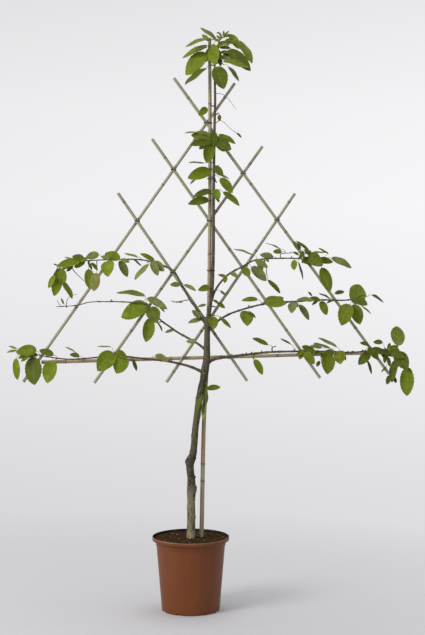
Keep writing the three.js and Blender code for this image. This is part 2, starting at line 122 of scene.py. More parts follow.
def read_table(rows: Sequence[Sequence[float]], key: int, value: float, column: int) -> float:
    """Reads one column of a table at a value of its key column, in straight lines between rows.

    Args:
        rows: the table, rising in its key column.
        key: index of the key column.
        value: where to read.
        column: index of the column to read.

    Returns:
        The value there, held level past the table's ends.
    """
    above = next((i for i, row in enumerate(rows) if row[key] > value), len(rows) - 1)
    low, high = rows[max(above, 1) - 1], rows[max(above, 1)]
    share = min(1.0, max(0.0, (value - low[key]) / (high[key] - low[key])))
    return lerp(low[column], high[column], share)


class Draws:
    """The growing rule's row of numbers from 0 to 1, the same for the same seed."""

    STEP = 0x6D2B79F5
    MASK = 0xFFFFFFFF

    def __init__(self, seed: int) -> None:
        """Starts the row at a seed and leaves out its first number, as the rule does."""
        self._state = seed
        self.draw()

    def draw(self) -> float:
        """Draws the next number from 0 to 1.

        Returns:
            The number.
        """
        self._state += self.STEP
        t = self._state & self.MASK
        t = ((t ^ (t >> 15)) * (t | 1)) & self.MASK
        t ^= (t + (((t ^ (t >> 7)) * (t | 61)) & self.MASK)) & self.MASK
        return (t ^ (t >> 14)) / 2**32

    def between(self, low: float, high: float) -> float:
        """Returns the next number, scaled to lie between two others."""
        return lerp(low, high, self.draw())


class Course:
    """A smooth centripetal curve through points in millimetres, read by the distance along it."""

    DIVISIONS = 400

    def __init__(self, points: Sequence[Vector]) -> None:
        """Measures the curve through the points.

        Args:
            points: the points in millimetres, at least two.
        """
        self._points = list(points)
        self._marks = [0.0]
        last = self.raw(0)
        for i in range(1, self.DIVISIONS + 1):
            spot = self.raw(i / self.DIVISIONS)
            self._marks.append(self._marks[-1] + (spot - last).length)
            last = spot
        self.length = self._marks[-1]

    def raw(self, share: float) -> Vector:
        """Finds the point at a share of the row of points, each stretch between two counting alike.

        Args:
            share: 0 at the first point, 1 at the last.

        Returns:
            The point.
        """
        points = self._points
        spans = len(points) - 1
        place = min(1.0, max(0.0, share)) * spans
        index = min(int(place), spans - 1)
        weight = place - index
        first, second = points[index], points[index + 1]
        before = points[index - 1] if index > 0 else 2 * first - second
        after = points[index + 2] if index + 2 <= spans else 2 * second - first
        gap0 = max((first - before).length, 1e-6) ** 0.5
        gap1 = max((second - first).length, 1e-6) ** 0.5
        gap2 = max((after - second).length, 1e-6) ** 0.5
        leave = (first - before) / gap0 - (second - before) / (gap0 + gap1) + (second - first) / gap1
        arrive = (second - first) / gap1 - (after - first) / (gap1 + gap2) + (after - second) / gap2
        leave, arrive = leave * gap1, arrive * gap1
        square = -3 * first + 3 * second - 2 * leave - arrive
        cube = 2 * first - 2 * second + leave + arrive
        return first + leave * weight + square * weight**2 + cube * weight**3

    def at(self, distance: float) -> Vector:
        """Finds the point at a distance along the curve.

        Args:
            distance: millimetres from its start.

        Returns:
            The point, held at the ends.
        """
        wanted = min(self.length, max(0.0, distance))
        low, high = 0, self.DIVISIONS
        while high - low > 1:
            middle = (low + high) // 2
            if self._marks[middle] <= wanted:
                low = middle
            else:
                high = middle
        span = self._marks[high] - self._marks[low]
        return self.raw((low + (wanted - self._marks[low]) / span) / self.DIVISIONS)

    def along(self, distance: float) -> Vector:
        """Returns the unit direction of the curve at a distance along it."""
        return (self.at(distance + 0.5) - self.at(distance - 0.5)).normalized()


class Wiring:
    """The nodes of a material or of the room, added and linked one by one."""

    def __init__(self, tree: NodeTree) -> None:
        """Takes a tree of nodes and adds its source of coordinates."""
        self.tree = tree
        self._coordinates = self.node("ShaderNodeTexCoord")

    def node(self, kind: str, **settings: object) -> Node:
        """Adds a node and sets its options.

        Args:
            kind: the node's type.
            settings: its options by name.

        Returns:
            The node.
        """
        made = self.tree.nodes.new(kind)
        for name, value in settings.items():
            setattr(made, name, value)
        return made

    def join(self, source: NodeSocket, target: NodeSocket) -> None:
        """Links two sockets."""
        self.tree.links.new(source, target)

    def split(self, on: str = "Object") -> NodeOutputs:
        """Gives each axis of a coordinate as a socket of its own.

        Args:
            on: the coordinate.

        Returns:
            The sockets X, Y and Z.
        """
        parts = self.node("ShaderNodeSeparateXYZ")
        self.join(self.place(on=on), parts.inputs[0])
        return parts.outputs

    def place(self, scale: Triple = (1, 1, 1), on: str = "Object") -> NodeSocket:
        """Gives a coordinate in metres, stretched along each axis.

        Args:
            scale: how much each axis is stretched.
            on: Object, UV where a pattern follows the surface, or Generated for the room.

        Returns:
            The coordinate.
        """
        mapping = self.node("ShaderNodeMapping")
        mapping.inputs["Scale"].default_value = scale
        self.join(self._coordinates.outputs[on], mapping.inputs["Vector"])
        return mapping.outputs["Vector"]

    def cloud(self, scale: float, detail: float = 3, stretch: Triple = (1, 1, 1),
              on: str = "Object") -> NodeSocket:
        """Makes a soft random field whose blots are about one over scale metres wide.

        Args:
            scale: blots to the metre.
            detail: how many finer layers it has.
            stretch: how much each axis is stretched.
            on: the coordinate that it reads.

        Returns:
            The field, 0 to 1.
        """
        field = self.node("ShaderNodeTexNoise")
        field.inputs["Scale"].default_value = scale
        field.inputs["Detail"].default_value = detail
        self.join(self.place(stretch, on), field.inputs["Vector"])
        return field.outputs["Fac"]

    def sum(self, kind: str, first: NodeSocket | float, second: NodeSocket | float = 0.0) -> NodeSocket:
        """Takes one arithmetic step on two sockets or numbers.

        Args:
            kind: the operation.
            first: its first term.
            second: its second term.

        Returns:
            The outcome.
        """
        step = self.node("ShaderNodeMath", operation=kind)
        for socket, value in zip(step.inputs, (first, second)):
            if isinstance(value, (int, float)):
                socket.default_value = value
            else:
                self.join(value, socket)
        return step.outputs[0]

    def ramp(self, factor: NodeSocket, stops: Sequence[Stop]) -> NodeSocket:
        """Reads a colour from a row of stops at a factor.

        Args:
            factor: where to read, 0 to 1.
            stops: positions and colours.

        Returns:
            The colour.
        """
        band = self.node("ShaderNodeValToRGB")
        self.join(factor, band.inputs["Fac"])
        elements = band.color_ramp.elements
        while len(elements) < len(stops):
            elements.new(0.5)
        for element, (position, colour) in zip(elements, stops):
            element.position = position
            element.color = colour
        return band.outputs["Color"]

    def step(self, factor: NodeSocket, low: float, high: float) -> NodeSocket:
        """Rises from 0 to 1 as a factor goes from low to high, which may be the lower of the two."""
        return self._span(factor, "From", low, high)

    def between(self, factor: NodeSocket, low: float, high: float) -> NodeSocket:
        """Runs from low to high as a factor goes from 0 to 1."""
        return self._span(factor, "To", low, high)

    def _span(self, factor: NodeSocket, side: str, low: float, high: float) -> NodeSocket:
        """Maps a factor in a straight line, held at its ends.

        Args:
            factor: what is mapped.
            side: From or To, the side whose ends are set; the other's are 0 and 1.
            low: the lower end.
            high: the upper end.

        Returns:
            The outcome.
        """
        span = self.node("ShaderNodeMapRange")
        span.inputs[f"{side} Min"].default_value = low
        span.inputs[f"{side} Max"].default_value = high
        self.join(factor, span.inputs["Value"])
        return span.outputs["Result"]

    def mix(self, factor: NodeSocket, first: NodeSocket | Colour, second: NodeSocket | Colour,
            share: float = 1.0) -> NodeSocket:
        """Blends two colours, each a socket or a fixed colour.

        Args:
            factor: 0 for the first colour, 1 for the second.
            first: the first colour.
            second: the second colour.
            share: how much of the second colour comes through at most.

        Returns:
            The blend.
        """
        blend = self.node("ShaderNodeMix", data_type="RGBA")
        self.join(factor if share == 1.0 else self.sum("MULTIPLY", factor, share), blend.inputs["Factor"])
        for socket, value in zip((blend.inputs[6], blend.inputs[7]), (first, second)):
            if isinstance(value, tuple):
                socket.default_value = value
            else:
                self.join(value, socket)
        return blend.outputs[2]

    def shaders(self, factor: NodeSocket, first: NodeSocket, second: NodeSocket, output: str) -> None:
        """Sends a blend of two shaders to the tree's output.

        Args:
            factor: 0 for the first shader, 1 for the second.
            first: the first shader.
            second: the second shader.
            output: name of the output node.
        """
        blend = self.node("ShaderNodeMixShader")
        for socket, source in zip(blend.inputs, (factor, first, second)):
            self.join(source, socket)
        self.join(blend.outputs[0], self.tree.nodes[output].inputs["Surface"])


class Recipe(Wiring):
    """A procedural material, put together node by node."""

    def __init__(self, name: str, roughness: float, specular: float) -> None:
        """Starts a material whose roughness and specular level are the same all over.

        Args:
            name: its name.
            roughness: its roughness.
            specular: its specular level.
        """
        self.material = bpy.data.materials.new(name)
        self.material.use_nodes = True
        super().__init__(self.material.node_tree)
        self.surface = self.tree.nodes["Principled BSDF"]
        self.surface.inputs["Roughness"].default_value = roughness
        self.surface.inputs["Specular IOR Level"].default_value = specular

    def colour(self, source: NodeSocket) -> None:
        """Sets the surface's base colour."""
        self.join(source, self.surface.inputs["Base Color"])

    def gloss(self, source: NodeSocket, low: float, high: float) -> None:
        """Lets the roughness run between two values with a factor."""
        self.join(self.between(source, low, high), self.surface.inputs["Roughness"])

    def relief(self, height: NodeSocket, depth: float) -> None:
        """Roughens the surface with a height field, up to a depth in metres.

        Args:
            height: the field.
            depth: the depth of a whole step of it.
        """
        bump = self.node("ShaderNodeBump")
        bump.inputs["Strength"].default_value = 1.0
        bump.inputs["Distance"].default_value = depth
        self.join(height, bump.inputs["Height"])
        self.join(bump.outputs["Normal"], self.surface.inputs["Normal"])


@dataclass(frozen=True)
class BarkFinish:
    """Young cherry bark: olive-grey and ringed with pale pores low down, dark grey-brown above, with a band
    of painted shade just below the lowest arms.
    """

    heights: Pair = (0.22, 1.02)
    tones: tuple[Stop, ...] = (
        (0.232, shade(156, 147, 122)), (0.252, shade(134, 124, 96)), (0.34, shade(130, 121, 93)),
        (0.4, shade(70, 62, 53)), (0.47, shade(68, 60, 52)), (0.53, shade(86, 82, 62)),
        # the stop at 0.71 is painted shade: a darker band on the trunk just below the lowest arms
        (0.66, shade(84, 80, 60)), (0.71, shade(64, 60, 44)), (0.8, shade(84, 77, 62)),
    )
    crack: Colour = shade(46, 38, 30)
    moss: Colour = shade(98, 96, 60)
    pore: Colour = shade(160, 150, 124)
    wander: float = 0.12
    depth: float = 0.0012

    def material(self) -> Material:
        """Puts the bark together: tones by height, one of them a band of painted shade just below the lowest
        arms, then moss, cracks and pores.

        Returns:
            The material.
        """
        bark = Recipe("bark", roughness=0.85, specular=0.25)
        wander = bark.sum("MULTIPLY", bark.sum("SUBTRACT", bark.cloud(30), 0.5), self.wander)
        level = bark.sum("ADD", bark.split()["Z"], wander)
        low, high = self.heights
        stops = [((place - low) / (high - low), tone) for place, tone in self.tones]
        ground = bark.ramp(bark.step(level, low, high), stops)
        green = bark.step(bark.cloud(55, 4), 0.5, 0.68)
        mossy = bark.mix(green, ground, self.moss, share=0.75)
        furrow = bark.step(bark.cloud(150, 5, (1, 1, 0.3)), 0.52, 0.66)
        cracked = bark.mix(furrow, mossy, self.crack, share=0.8)
        pores = bark.step(bark.cloud(120, 2, (1, 1, 3.4)), 0.6, 0.68)
        bark.colour(bark.mix(pores, cracked, self.pore, share=0.7))
        lumps = bark.sum("SUBTRACT", bark.sum("ADD", bark.cloud(220, 6), pores), furrow)
        bark.relief(lumps, self.depth)
        return bark.material


@dataclass(frozen=True)
class MottledFinish:
    """A surface whose colour wanders through a few tones in soft blots, over a fine relief.

    The blots and the bumps are given as their number to the metre and their finer layers, the bumps also
    with their depth in metres, and the gloss as blots with the roughness at its two ends.
    """

    name: str
    roughness: float
    specular: float
    blots: Pair
    tones: tuple[Stop, ...]
    bumps: Triple | None = None
    gloss: tuple[float, float, float, float] | None = None

    def material(self) -> Material:
        """Puts the surface together.

        Returns:
            The material.
        """
        skin = Recipe(self.name, self.roughness, self.specular)
        skin.colour(skin.ramp(skin.cloud(*self.blots), self.tones))
        if self.gloss:
            skin.gloss(skin.cloud(*self.gloss[:2]), *self.gloss[2:])
        if self.bumps:
            skin.relief(skin.cloud(*self.bumps[:2]), self.bumps[2])
        return skin.material


class Mottle(Enum):
    """The plainer surfaces: peeling twigs, damp compost with its grains, and the like."""

    TWIG = MottledFinish(
        "twig_wood", 0.8, 0.3, (260, 4), ((0.35, shade(58, 48, 38)), (0.62, shade(96, 86, 70))),
        (500, 3, 0.0005))
    STALK = MottledFinish(
        "stalk", 0.5, 0.4, (40, 2), ((0.4, shade(128, 134, 62)), (0.62, shade(124, 84, 56))),
        (700, 2, 0.0002))
    INNER_SKIN = MottledFinish(
        "pot_inner_skin", 0.6, 0.2, (90, 6), ((0.48, shade(34, 28, 26)), (0.68, shade(70, 56, 44))),
        (400, 4, 0.0003))
    COMPOST = MottledFinish(
        "compost", 0.95, 0.05, (240, 8),
        ((0.38, shade(36, 26, 14)), (0.55, shade(60, 43, 24)), (0.72, shade(98, 74, 44))), (240, 8, 0.003))
    PALE_GRAIN = MottledFinish(
        "pale_grain", 0.7, 0.3, (320, 3), ((0.3, shade(136, 126, 106)), (0.7, shade(186, 178, 158))),
        (900, 3, 0.0003))
    TAN_GRAIN = MottledFinish(
        "tan_grain", 0.7, 0.3, (320, 3), ((0.3, shade(120, 88, 56)), (0.7, shade(170, 134, 92))),
        (900, 3, 0.0003))
    WIRE = MottledFinish(
        "tying_wire", 0.5, 0.45, (300, 4), ((0.5, shade(38, 34, 30)), (0.75, shade(84, 76, 66))),
        gloss=(200, 3, 0.4, 0.62))


@dataclass(frozen=True)
class CaneFinish:
    """Weathered bamboo: long streaks along the cane, a blushed band, specks of soot, and soot at its joints.
    """

    name: str
    light: Colour
    dark: Colour
    blush_band: Pair
    blush: Colour = shade(178, 130, 98)
    soot: Colour = shade(66, 58, 48)
    blush_fade: Pair = (0.03, 0.02)
    depth: float = 0.0004

    def material(self) -> Material:
        """Puts the bamboo together, its streaks on the cane's own UV map.

        Returns:
            The material.
        """
        cane = Recipe(self.name, roughness=0.55, specular=0.4)
        streaks = cane.cloud(9, 4, (7, 1.2, 1), on="UV")
        body = cane.ramp(streaks, [(0.3, self.dark), (0.52, self.light), (0.8, self.light)])
        height = cane.split()["Z"]
        (low, high), (rise, fall) = self.blush_band, self.blush_fade
        band = cane.sum("MULTIPLY", cane.step(height, low, low + rise), cane.step(height, high, high - fall))
        blushed = cane.mix(cane.sum("MULTIPLY", band, cane.step(streaks, 0.7, 0.3)), body, self.blush)
        specks = cane.step(cane.cloud(190, 5), 0.6, 0.72)
        speckled = cane.mix(specks, blushed, self.soot, share=0.65)
        ring = cane.node("ShaderNodeAttribute", attribute_name=CANE_RING).outputs["Fac"]
        cane.colour(cane.mix(ring, speckled, self.soot, share=0.8))
        cane.gloss(streaks, 0.45, 0.68)
        cane.relief(cane.sum("ADD", streaks, cane.cloud(400, 3)), self.depth)
        return cane.material


@dataclass(frozen=True)
class PlasticFinish:
    """The pot's moulded plastic: terracotta brown with a satin skin, faint upright streaks of painted sheen,
    scuffs of dust, and a painted highlight along the rim's top edge.
    """

    body: Colour = shade(106, 56, 26)
    # a brighter tone laid in faint upright streaks: painted sheen
    sheen_tone: Colour = shade(114, 64, 34)
    dust: Colour = shade(140, 98, 72)
    # painted highlight: the brighter colour given to the rim's top edge
    rim_highlight: Colour = shade(150, 124, 100)
    rim_edge: Pair = (0.2296, 0.2312)
    depth: float = 0.00012

    def material(self) -> Material:
        """Puts the moulded skin together, with its painted sheen streaks, its scuffs of dust and the painted
        highlight along its rim.

        Returns:
            The material.
        """
        pot = Recipe("pot_plastic", roughness=0.42, specular=0.25)
        # the brighter tone comes in faint upright streaks, a painted sheen
        sheen_streaks = pot.cloud(9, 4, (1, 1, 0.35))
        skin = pot.ramp(sheen_streaks, [(0.36, self.body), (0.66, self.sheen_tone)])
        scuffs = pot.step(pot.cloud(60, 8, (1, 1, 2.5)), 0.62, 0.78)
        dusty = pot.mix(scuffs, skin, self.dust, share=0.3)
        # painted highlight: a brighter colour in patches along the rim's top edge
        edge = pot.step(pot.split()["Z"], *self.rim_edge)
        rim_highlight_mask = pot.sum("MULTIPLY", edge, pot.step(pot.cloud(70, 4), 0.3, 0.6))
        pot.colour(pot.mix(rim_highlight_mask, dusty, self.rim_highlight))
        pot.gloss(pot.cloud(35, 5), 0.34, 0.5)
        pot.relief(pot.cloud(900, 2), self.depth)
        return pot.material


class Tint(Enum):
    """The leaves' plain colours, dealt out by spray: the upper face and the underside; the brightest green is
    partly painted light, the darkest partly painted shade.
    """

    # BRIGHT, LIVELY, MID and DARK are one green at steps of lightness: BRIGHT is partly painted light, dealt
    # to lit leaves such as the crown's, and DARK partly painted shade, dealt to leaves low and deep in the
    # masses.
    BRIGHT = ("leaves_bright", shade(110, 124, 26), shade(120, 130, 62))
    LIVELY = ("leaves_lively", shade(102, 119, 18), shade(118, 128, 58))
    MID = ("leaves_mid", shade(97, 108, 20), shade(110, 118, 54))
    DARK = ("leaves_dark", shade(77, 89, 18), shade(95, 105, 50))
    DULL = ("leaves_dull", shade(113, 120, 64), shade(120, 124, 80))
    WITHERED = ("leaves_withered", shade(118, 114, 58), shade(114, 104, 62))


@dataclass(frozen=True)
class LeafFinish:
    """A leaf's face: its tint in soft blots, some darker and some brighter ones of painted sheen, a paler
    midrib with side veins, and a soft satin skin.
    """

    name: str
    tint: Colour
    vein: float = 0.22
    pale: Colour = shade(176, 180, 104)
    slant: float = 0.85
    veins: float = 18
    depth: float = 0.0006

    def material(self) -> Material:
        """Puts one face of the leaf together, its veins on the leaf's own UV map.

        Returns:
            The material.
        """
        leaf = Recipe(self.name, roughness=0.6, specular=0.15)
        place = leaf.split("UV")
        across = leaf.sum("ABSOLUTE", leaf.sum("SUBTRACT", place["X"], 0.5))
        midrib = leaf.step(across, 0.022, 0.004)
        slant = leaf.sum("SUBTRACT", place["Y"], leaf.sum("MULTIPLY", across, self.slant))
        comb = leaf.sum("PINGPONG", leaf.sum("MULTIPLY", slant, self.veins), 1.0)
        ribs = leaf.sum("MAXIMUM", midrib, leaf.sum("MULTIPLY", leaf.step(comb, 0.2, 0.02), 0.6))
        base = self.tint[:3]
        darker = (*(0.8 * value for value in base), 1.0)
        paler = (*(lerp(*pair, 0.6) for pair in zip(base, self.pale)), 1.0)
        # painted sheen: soft blots brighter than the tint
        sheen_blot = (*(min(1.0, 1.22 * value + 0.004) for value in base), 1.0)
        body = leaf.ramp(leaf.cloud(60, 4), [(0.34, darker), (0.52, self.tint), (0.68, sheen_blot)])
        leaf.colour(leaf.mix(ribs, body, paler, share=self.vein))
        leaf.gloss(leaf.cloud(60, 3), 0.55, 0.75)
        leaf.relief(leaf.sum("SUBTRACT", leaf.cloud(300, 3), ribs), self.depth)
        return leaf.material


def ring_frames(centres: Sequence[Vector]) -> Iterator[tuple[Vector, Vector, Vector]]:
    """Gives each centre of a limb two unit directions square to it, without twist along the limb.

    Args:
        centres: the limb's centre line.

    Returns:
        The unit directions across, up and along at each centre in turn.
    """
    across = None
    last = len(centres) - 1
    for i in range(len(centres)):
        along = (centres[min(i + 1, last)] - centres[max(i - 1, 0)]).normalized()
        if across is None:
            across = along.orthogonal().normalized()
        across = (across - along * across.dot(along)).normalized()
        yield across, along.cross(across), along


def add_limb(work: BMesh, centres: Sequence[Vector], radii: Sequence[float], sides: int,
             relief: Callable[[Vector, Vector], float] | None = None, finish: int = 0) -> list:
    """Adds one closed round limb, rolled up from a grid.

    Args:
        work: the mesh that it goes into.
        centres: the centre line, in metres.
        radii: the radius at each centre, in metres.
        sides: faces round the limb.
        relief: how far the surface stands out at a point, given it and its outward direction, in metres.
        finish: index of its material.

    Returns:
        The limb's vertices.
    """
    rows = len(centres) - 1
    sheet = bmesh.ops.create_grid(work, x_segments=sides, y_segments=rows, size=1.0)["verts"]
    frames = list(ring_frames(centres))
    layer = work.loops.layers.uv.verify()
    lengths = [0.0]
    for before, after in zip(centres, centres[1:]):
        lengths.append(lengths[-1] + (after - before).length)
    cells = {vert: (round((vert.co.x + 1) / 2 * sides), round((vert.co.y + 1) / 2 * rows)) for vert in sheet}
    for face in {face for vert in sheet for face in vert.link_faces}:
        face.material_index = finish
        for loop in face.loops:
            turn, row = cells[loop.vert]
            loop[layer].uv = (turn / sides, lengths[row])
    for vert, (turn, row) in cells.items():
        across, up, _ = frames[row]
        angle = FULL_TURN * (turn % sides) / sides
        outward = across * math.cos(angle) + up * math.sin(angle)
        spot = centres[row] + outward * radii[row]
        if relief:
            spot += outward * relief(spot, outward)
        vert.co = spot
    seam = [vert for vert, (turn, _) in cells.items() if turn in (0, sides)]
    bmesh.ops.remove_doubles(work, verts=seam, dist=0.1 * WELD)
    kept = [vert for vert in sheet if vert.is_valid]
    edges = {edge for vert in kept for edge in vert.link_edges if edge.is_boundary}
    for face in bmesh.ops.holes_fill(work, edges=list(edges), sides=0)["faces"]:
        face.material_index = finish
    return kept


def add_ball(work: BMesh, centre: Vector, size: Vector, turn: Matrix, detail: int = 1,
             finish: int = 0) -> None:
    """Adds a small rounded lump.

    Args:
        work: the mesh that it goes into.
        centre: its middle, in metres.
        size: its half sizes, in metres.
        turn: its rotation.
        detail: fineness of the ball, 1 for 20 faces.
        finish: index of its material.
    """
    matrix = Matrix.Translation(centre) @ turn.to_4x4() @ Matrix.Diagonal((*size, 1.0))
    ball = bmesh.ops.create_icosphere(work, subdivisions=detail, radius=1.0, matrix=matrix)["verts"]
    for face in {face for vert in ball for face in vert.link_faces}:
        face.material_index = finish


def add_object(name: str, data: ID | BMesh) -> Object:
    """Puts data, or a finished mesh, into the scene as an object at the origin.

    Args:
        name: the object's name.
        data: its data, or its mesh in the making, which is freed.

    Returns:
        The object.
    """
    if isinstance(data, BMesh):
        work, data = data, bpy.data.meshes.new(name)
        work.to_mesh(data)
        work.free()
    made = bpy.data.objects.new(name, data)
    bpy.context.collection.objects.link(made)
    return made


def spin_outline(outline: Sequence[Pair], steps: int) -> BMesh:
    """Turns an outline round the upright axis into a closed body.

    Args:
        outline: radius and height of each corner in millimetres, from the axis and back to it.
        steps: faces round the body.

    Returns:
        The body.
    """
    work = bmesh.new()
    spots = [work.verts.new((radius * MM, 0, height * MM)) for radius, height in outline]
    edges = [work.edges.new(pair) for pair in zip(spots, spots[1:])]
    bmesh.ops.spin(work, geom=spots + edges, axis=(0, 0, 1), cent=(0, 0, 0), angle=FULL_TURN, steps=steps,
                   use_merge=True)
    bmesh.ops.remove_doubles(work, verts=work.verts, dist=WELD)
    return work


def make_piece(name: str, work: BMesh, finishes: Sequence[Material],
               nodes: Sequence[str] = (), crease: float = 40) -> Object:
    """Turns a finished mesh into a piece that rides on the plant's one body.

    Args:
        name: the piece's name.
        work: its mesh, which is freed.
        finishes: its materials, in the order of its faces' indices.
        nodes: the solids that it stands for.
        crease: edges sharper than this, in degrees, stay sharp.

    Returns:
        The piece.
    """
    bmesh.ops.recalc_face_normals(work, faces=work.faces)
    piece = add_object(name, work)
    mesh = piece.data
    for finish in finishes:
        mesh.materials.append(finish)
    mesh.shade_smooth()
    mesh.set_sharp_from_angle(angle=math.radians(crease))
    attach(piece, BODY)
    if nodes:
        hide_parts(*nodes)
    LOG.info("%s: %d faces", name, len(mesh.polygons))
    return piece


def corners(spots: Sequence[Vector]) -> tuple[Vector, Vector]:
    """Returns the lowest and the highest corner of the box round some points."""
    low, high = ([pick(spot[k] for spot in spots) for k in range(3)] for pick in (min, max))
    return Vector(low), Vector(high)


def roughness_of(spot: Vector, scale: Vector, detail: int = 3) -> float:
    """Returns a smooth random height from about -1 to 1 at a point, with a scale along each axis."""
    place = Vector((spot.x * scale.x, spot.y * scale.y, spot.z * scale.z))
    return noise.fractal(place, 1.0, 2.0, detail)


@dataclass(frozen=True)
class Pot:
    """The 7.5 litre nursery pot: a tapered wall, a small shoulder and a thin stepped collar."""

    height: float = 232
    foot_radius: float = 90.5
    wall_radius: float = 107
    shoulder_height: float = 204
    shoulder_step: float = 2
    rim_radius: float = 120
    rim_depth: float = 11
    wall: float = 1.6
    floor: float = 7
    steps: int = 144
    notches: int = 8
    notch_width: float = 20
    notch_height: float = 5
    notch_depth: float = 10.5
    notch_round: float = 2.5
    skin_start: float = 6

    def _outline(self) -> list[Pair]:
        """Draws the wall's closed outline, from the axis underneath round to inside.

        Returns:
            Radius and height of each corner, in millimetres.
        """
        shoulder = self.wall_radius + self.shoulder_step
        lip, rim = self.height - self.rim_depth, self.rim_radius
        inside = rim - self.wall
        low, foot = self.shoulder_height, self.foot_radius
        taper = (self.wall_radius - foot) / low
        outer = [(0, 4.4), (foot - 9, 4.4), (foot - 7, 0), (foot - 1.6, 0), (foot - 0.4, 0.6), (foot, 2)]
        outer += [(foot + taper * height, height) for height in (6, 40, 90, 140, 185)]
        outer += [(self.wall_radius, low), (self.wall_radius + 0.9, low + 0.5), (shoulder - 0.3, low + 1.6)]
        outer += [(shoulder, low + 3), (shoulder, lip - 2.4), (shoulder + 0.7, lip - 0.7)]
        outer += [(shoulder + 2.4, lip), (rim - 1.6, lip), (rim - 0.4, lip + 0.4), (rim, lip + 1.5)]
        outer += [(rim, self.height - 0.9), (rim - 0.8, self.height)]
        inner = [(inside, self.height - 0.8), (inside, lip + self.wall)]
        inner += [(shoulder - self.wall, lip + self.wall), (self.wall_radius - self.wall, low)]
        inner += [(foot - self.wall, self.floor), (0, self.floor)]
        return outer + inner

    def _notch_cutter(self) -> Object:
        """Makes the round-topped blocks that open the drain notches, as one object.

        Returns:
            The blocks.
        """
        work = bmesh.new()
        depth, width, rise = self.notch_depth * MM, self.notch_width * MM, self.notch_height * MM
        for i in range(self.notches):
            block = bmesh.ops.create_cube(work, size=1.0)["verts"]
            upper = [edge for vert in block for edge in vert.link_edges
                     if all(end.co.z > 0 for end in edge.verts)
                     and abs(edge.verts[0].co.y - edge.verts[1].co.y) < 0.5]
            bmesh.ops.transform(work, verts=block, matrix=Matrix.Diagonal((2 * depth, width, 2 * rise, 1)))
            rounded = bmesh.ops.bevel(work, geom=list(set(upper)), offset=self.notch_round * MM, segments=4,
                                      profile=0.5, affect="EDGES", material=-1)["verts"]
            angle = (i + 0.5) * FULL_TURN / self.notches
            whole = {vert for vert in block + rounded if vert.is_valid}
            place = Matrix.Rotation(angle, 4, "Z") @ Matrix.Translation((self.foot_radius * MM, 0, 0))
            bmesh.ops.transform(work, verts=list(whole), matrix=place)
        bmesh.ops.recalc_face_normals(work, faces=work.faces)
        return add_object("notch_cutter", work)

    def build(self) -> Object:
        """Makes the pot, its notches cut and its inside in a darker skin.

        Returns:
            The pot.
        """
        shell = spin_outline(self._outline(), self.steps)
        bmesh.ops.recalc_face_normals(shell, faces=shell.faces)
        plain = add_object("pot_shell", shell)
        cutter = self._notch_cutter()
        cut = plain.modifiers.new("notches", "BOOLEAN")
        cut.operation = "DIFFERENCE"
        cut.solver = "EXACT"
        cut.object = cutter
        bpy.context.view_layer.update()
        done = plain.evaluated_get(bpy.context.evaluated_depsgraph_get())
        work = bmesh.new()
        work.from_mesh(done.to_mesh())
        for spare in (plain, cutter):
            bpy.data.objects.remove(spare)
        work.normal_update()
        opening = (self.rim_radius - self.wall - 0.2) * MM
        for face in work.faces:
            middle = face.calc_center_median()
            reach = middle.xy.length
            inside = face.normal.xy.dot(middle.xy) < -0.3 * reach or (face.normal.z > 0.5 and reach < opening)
            face.material_index = 1 if inside and middle.z > self.skin_start * MM else 0
        finishes = [PlasticFinish().material(), Mottle.INNER_SKIN.value.material()]
        return make_piece("nursery_pot", work, finishes, ["pot"], crease=32)


@dataclass(frozen=True)
class Lump:
    """A kind of loose lump: its half length, its width and height beside it, and how far it sticks out."""

    lengths: Pair
    widths: Pair
    heights: Pair
    lift: float = 0
    detail: int = 1


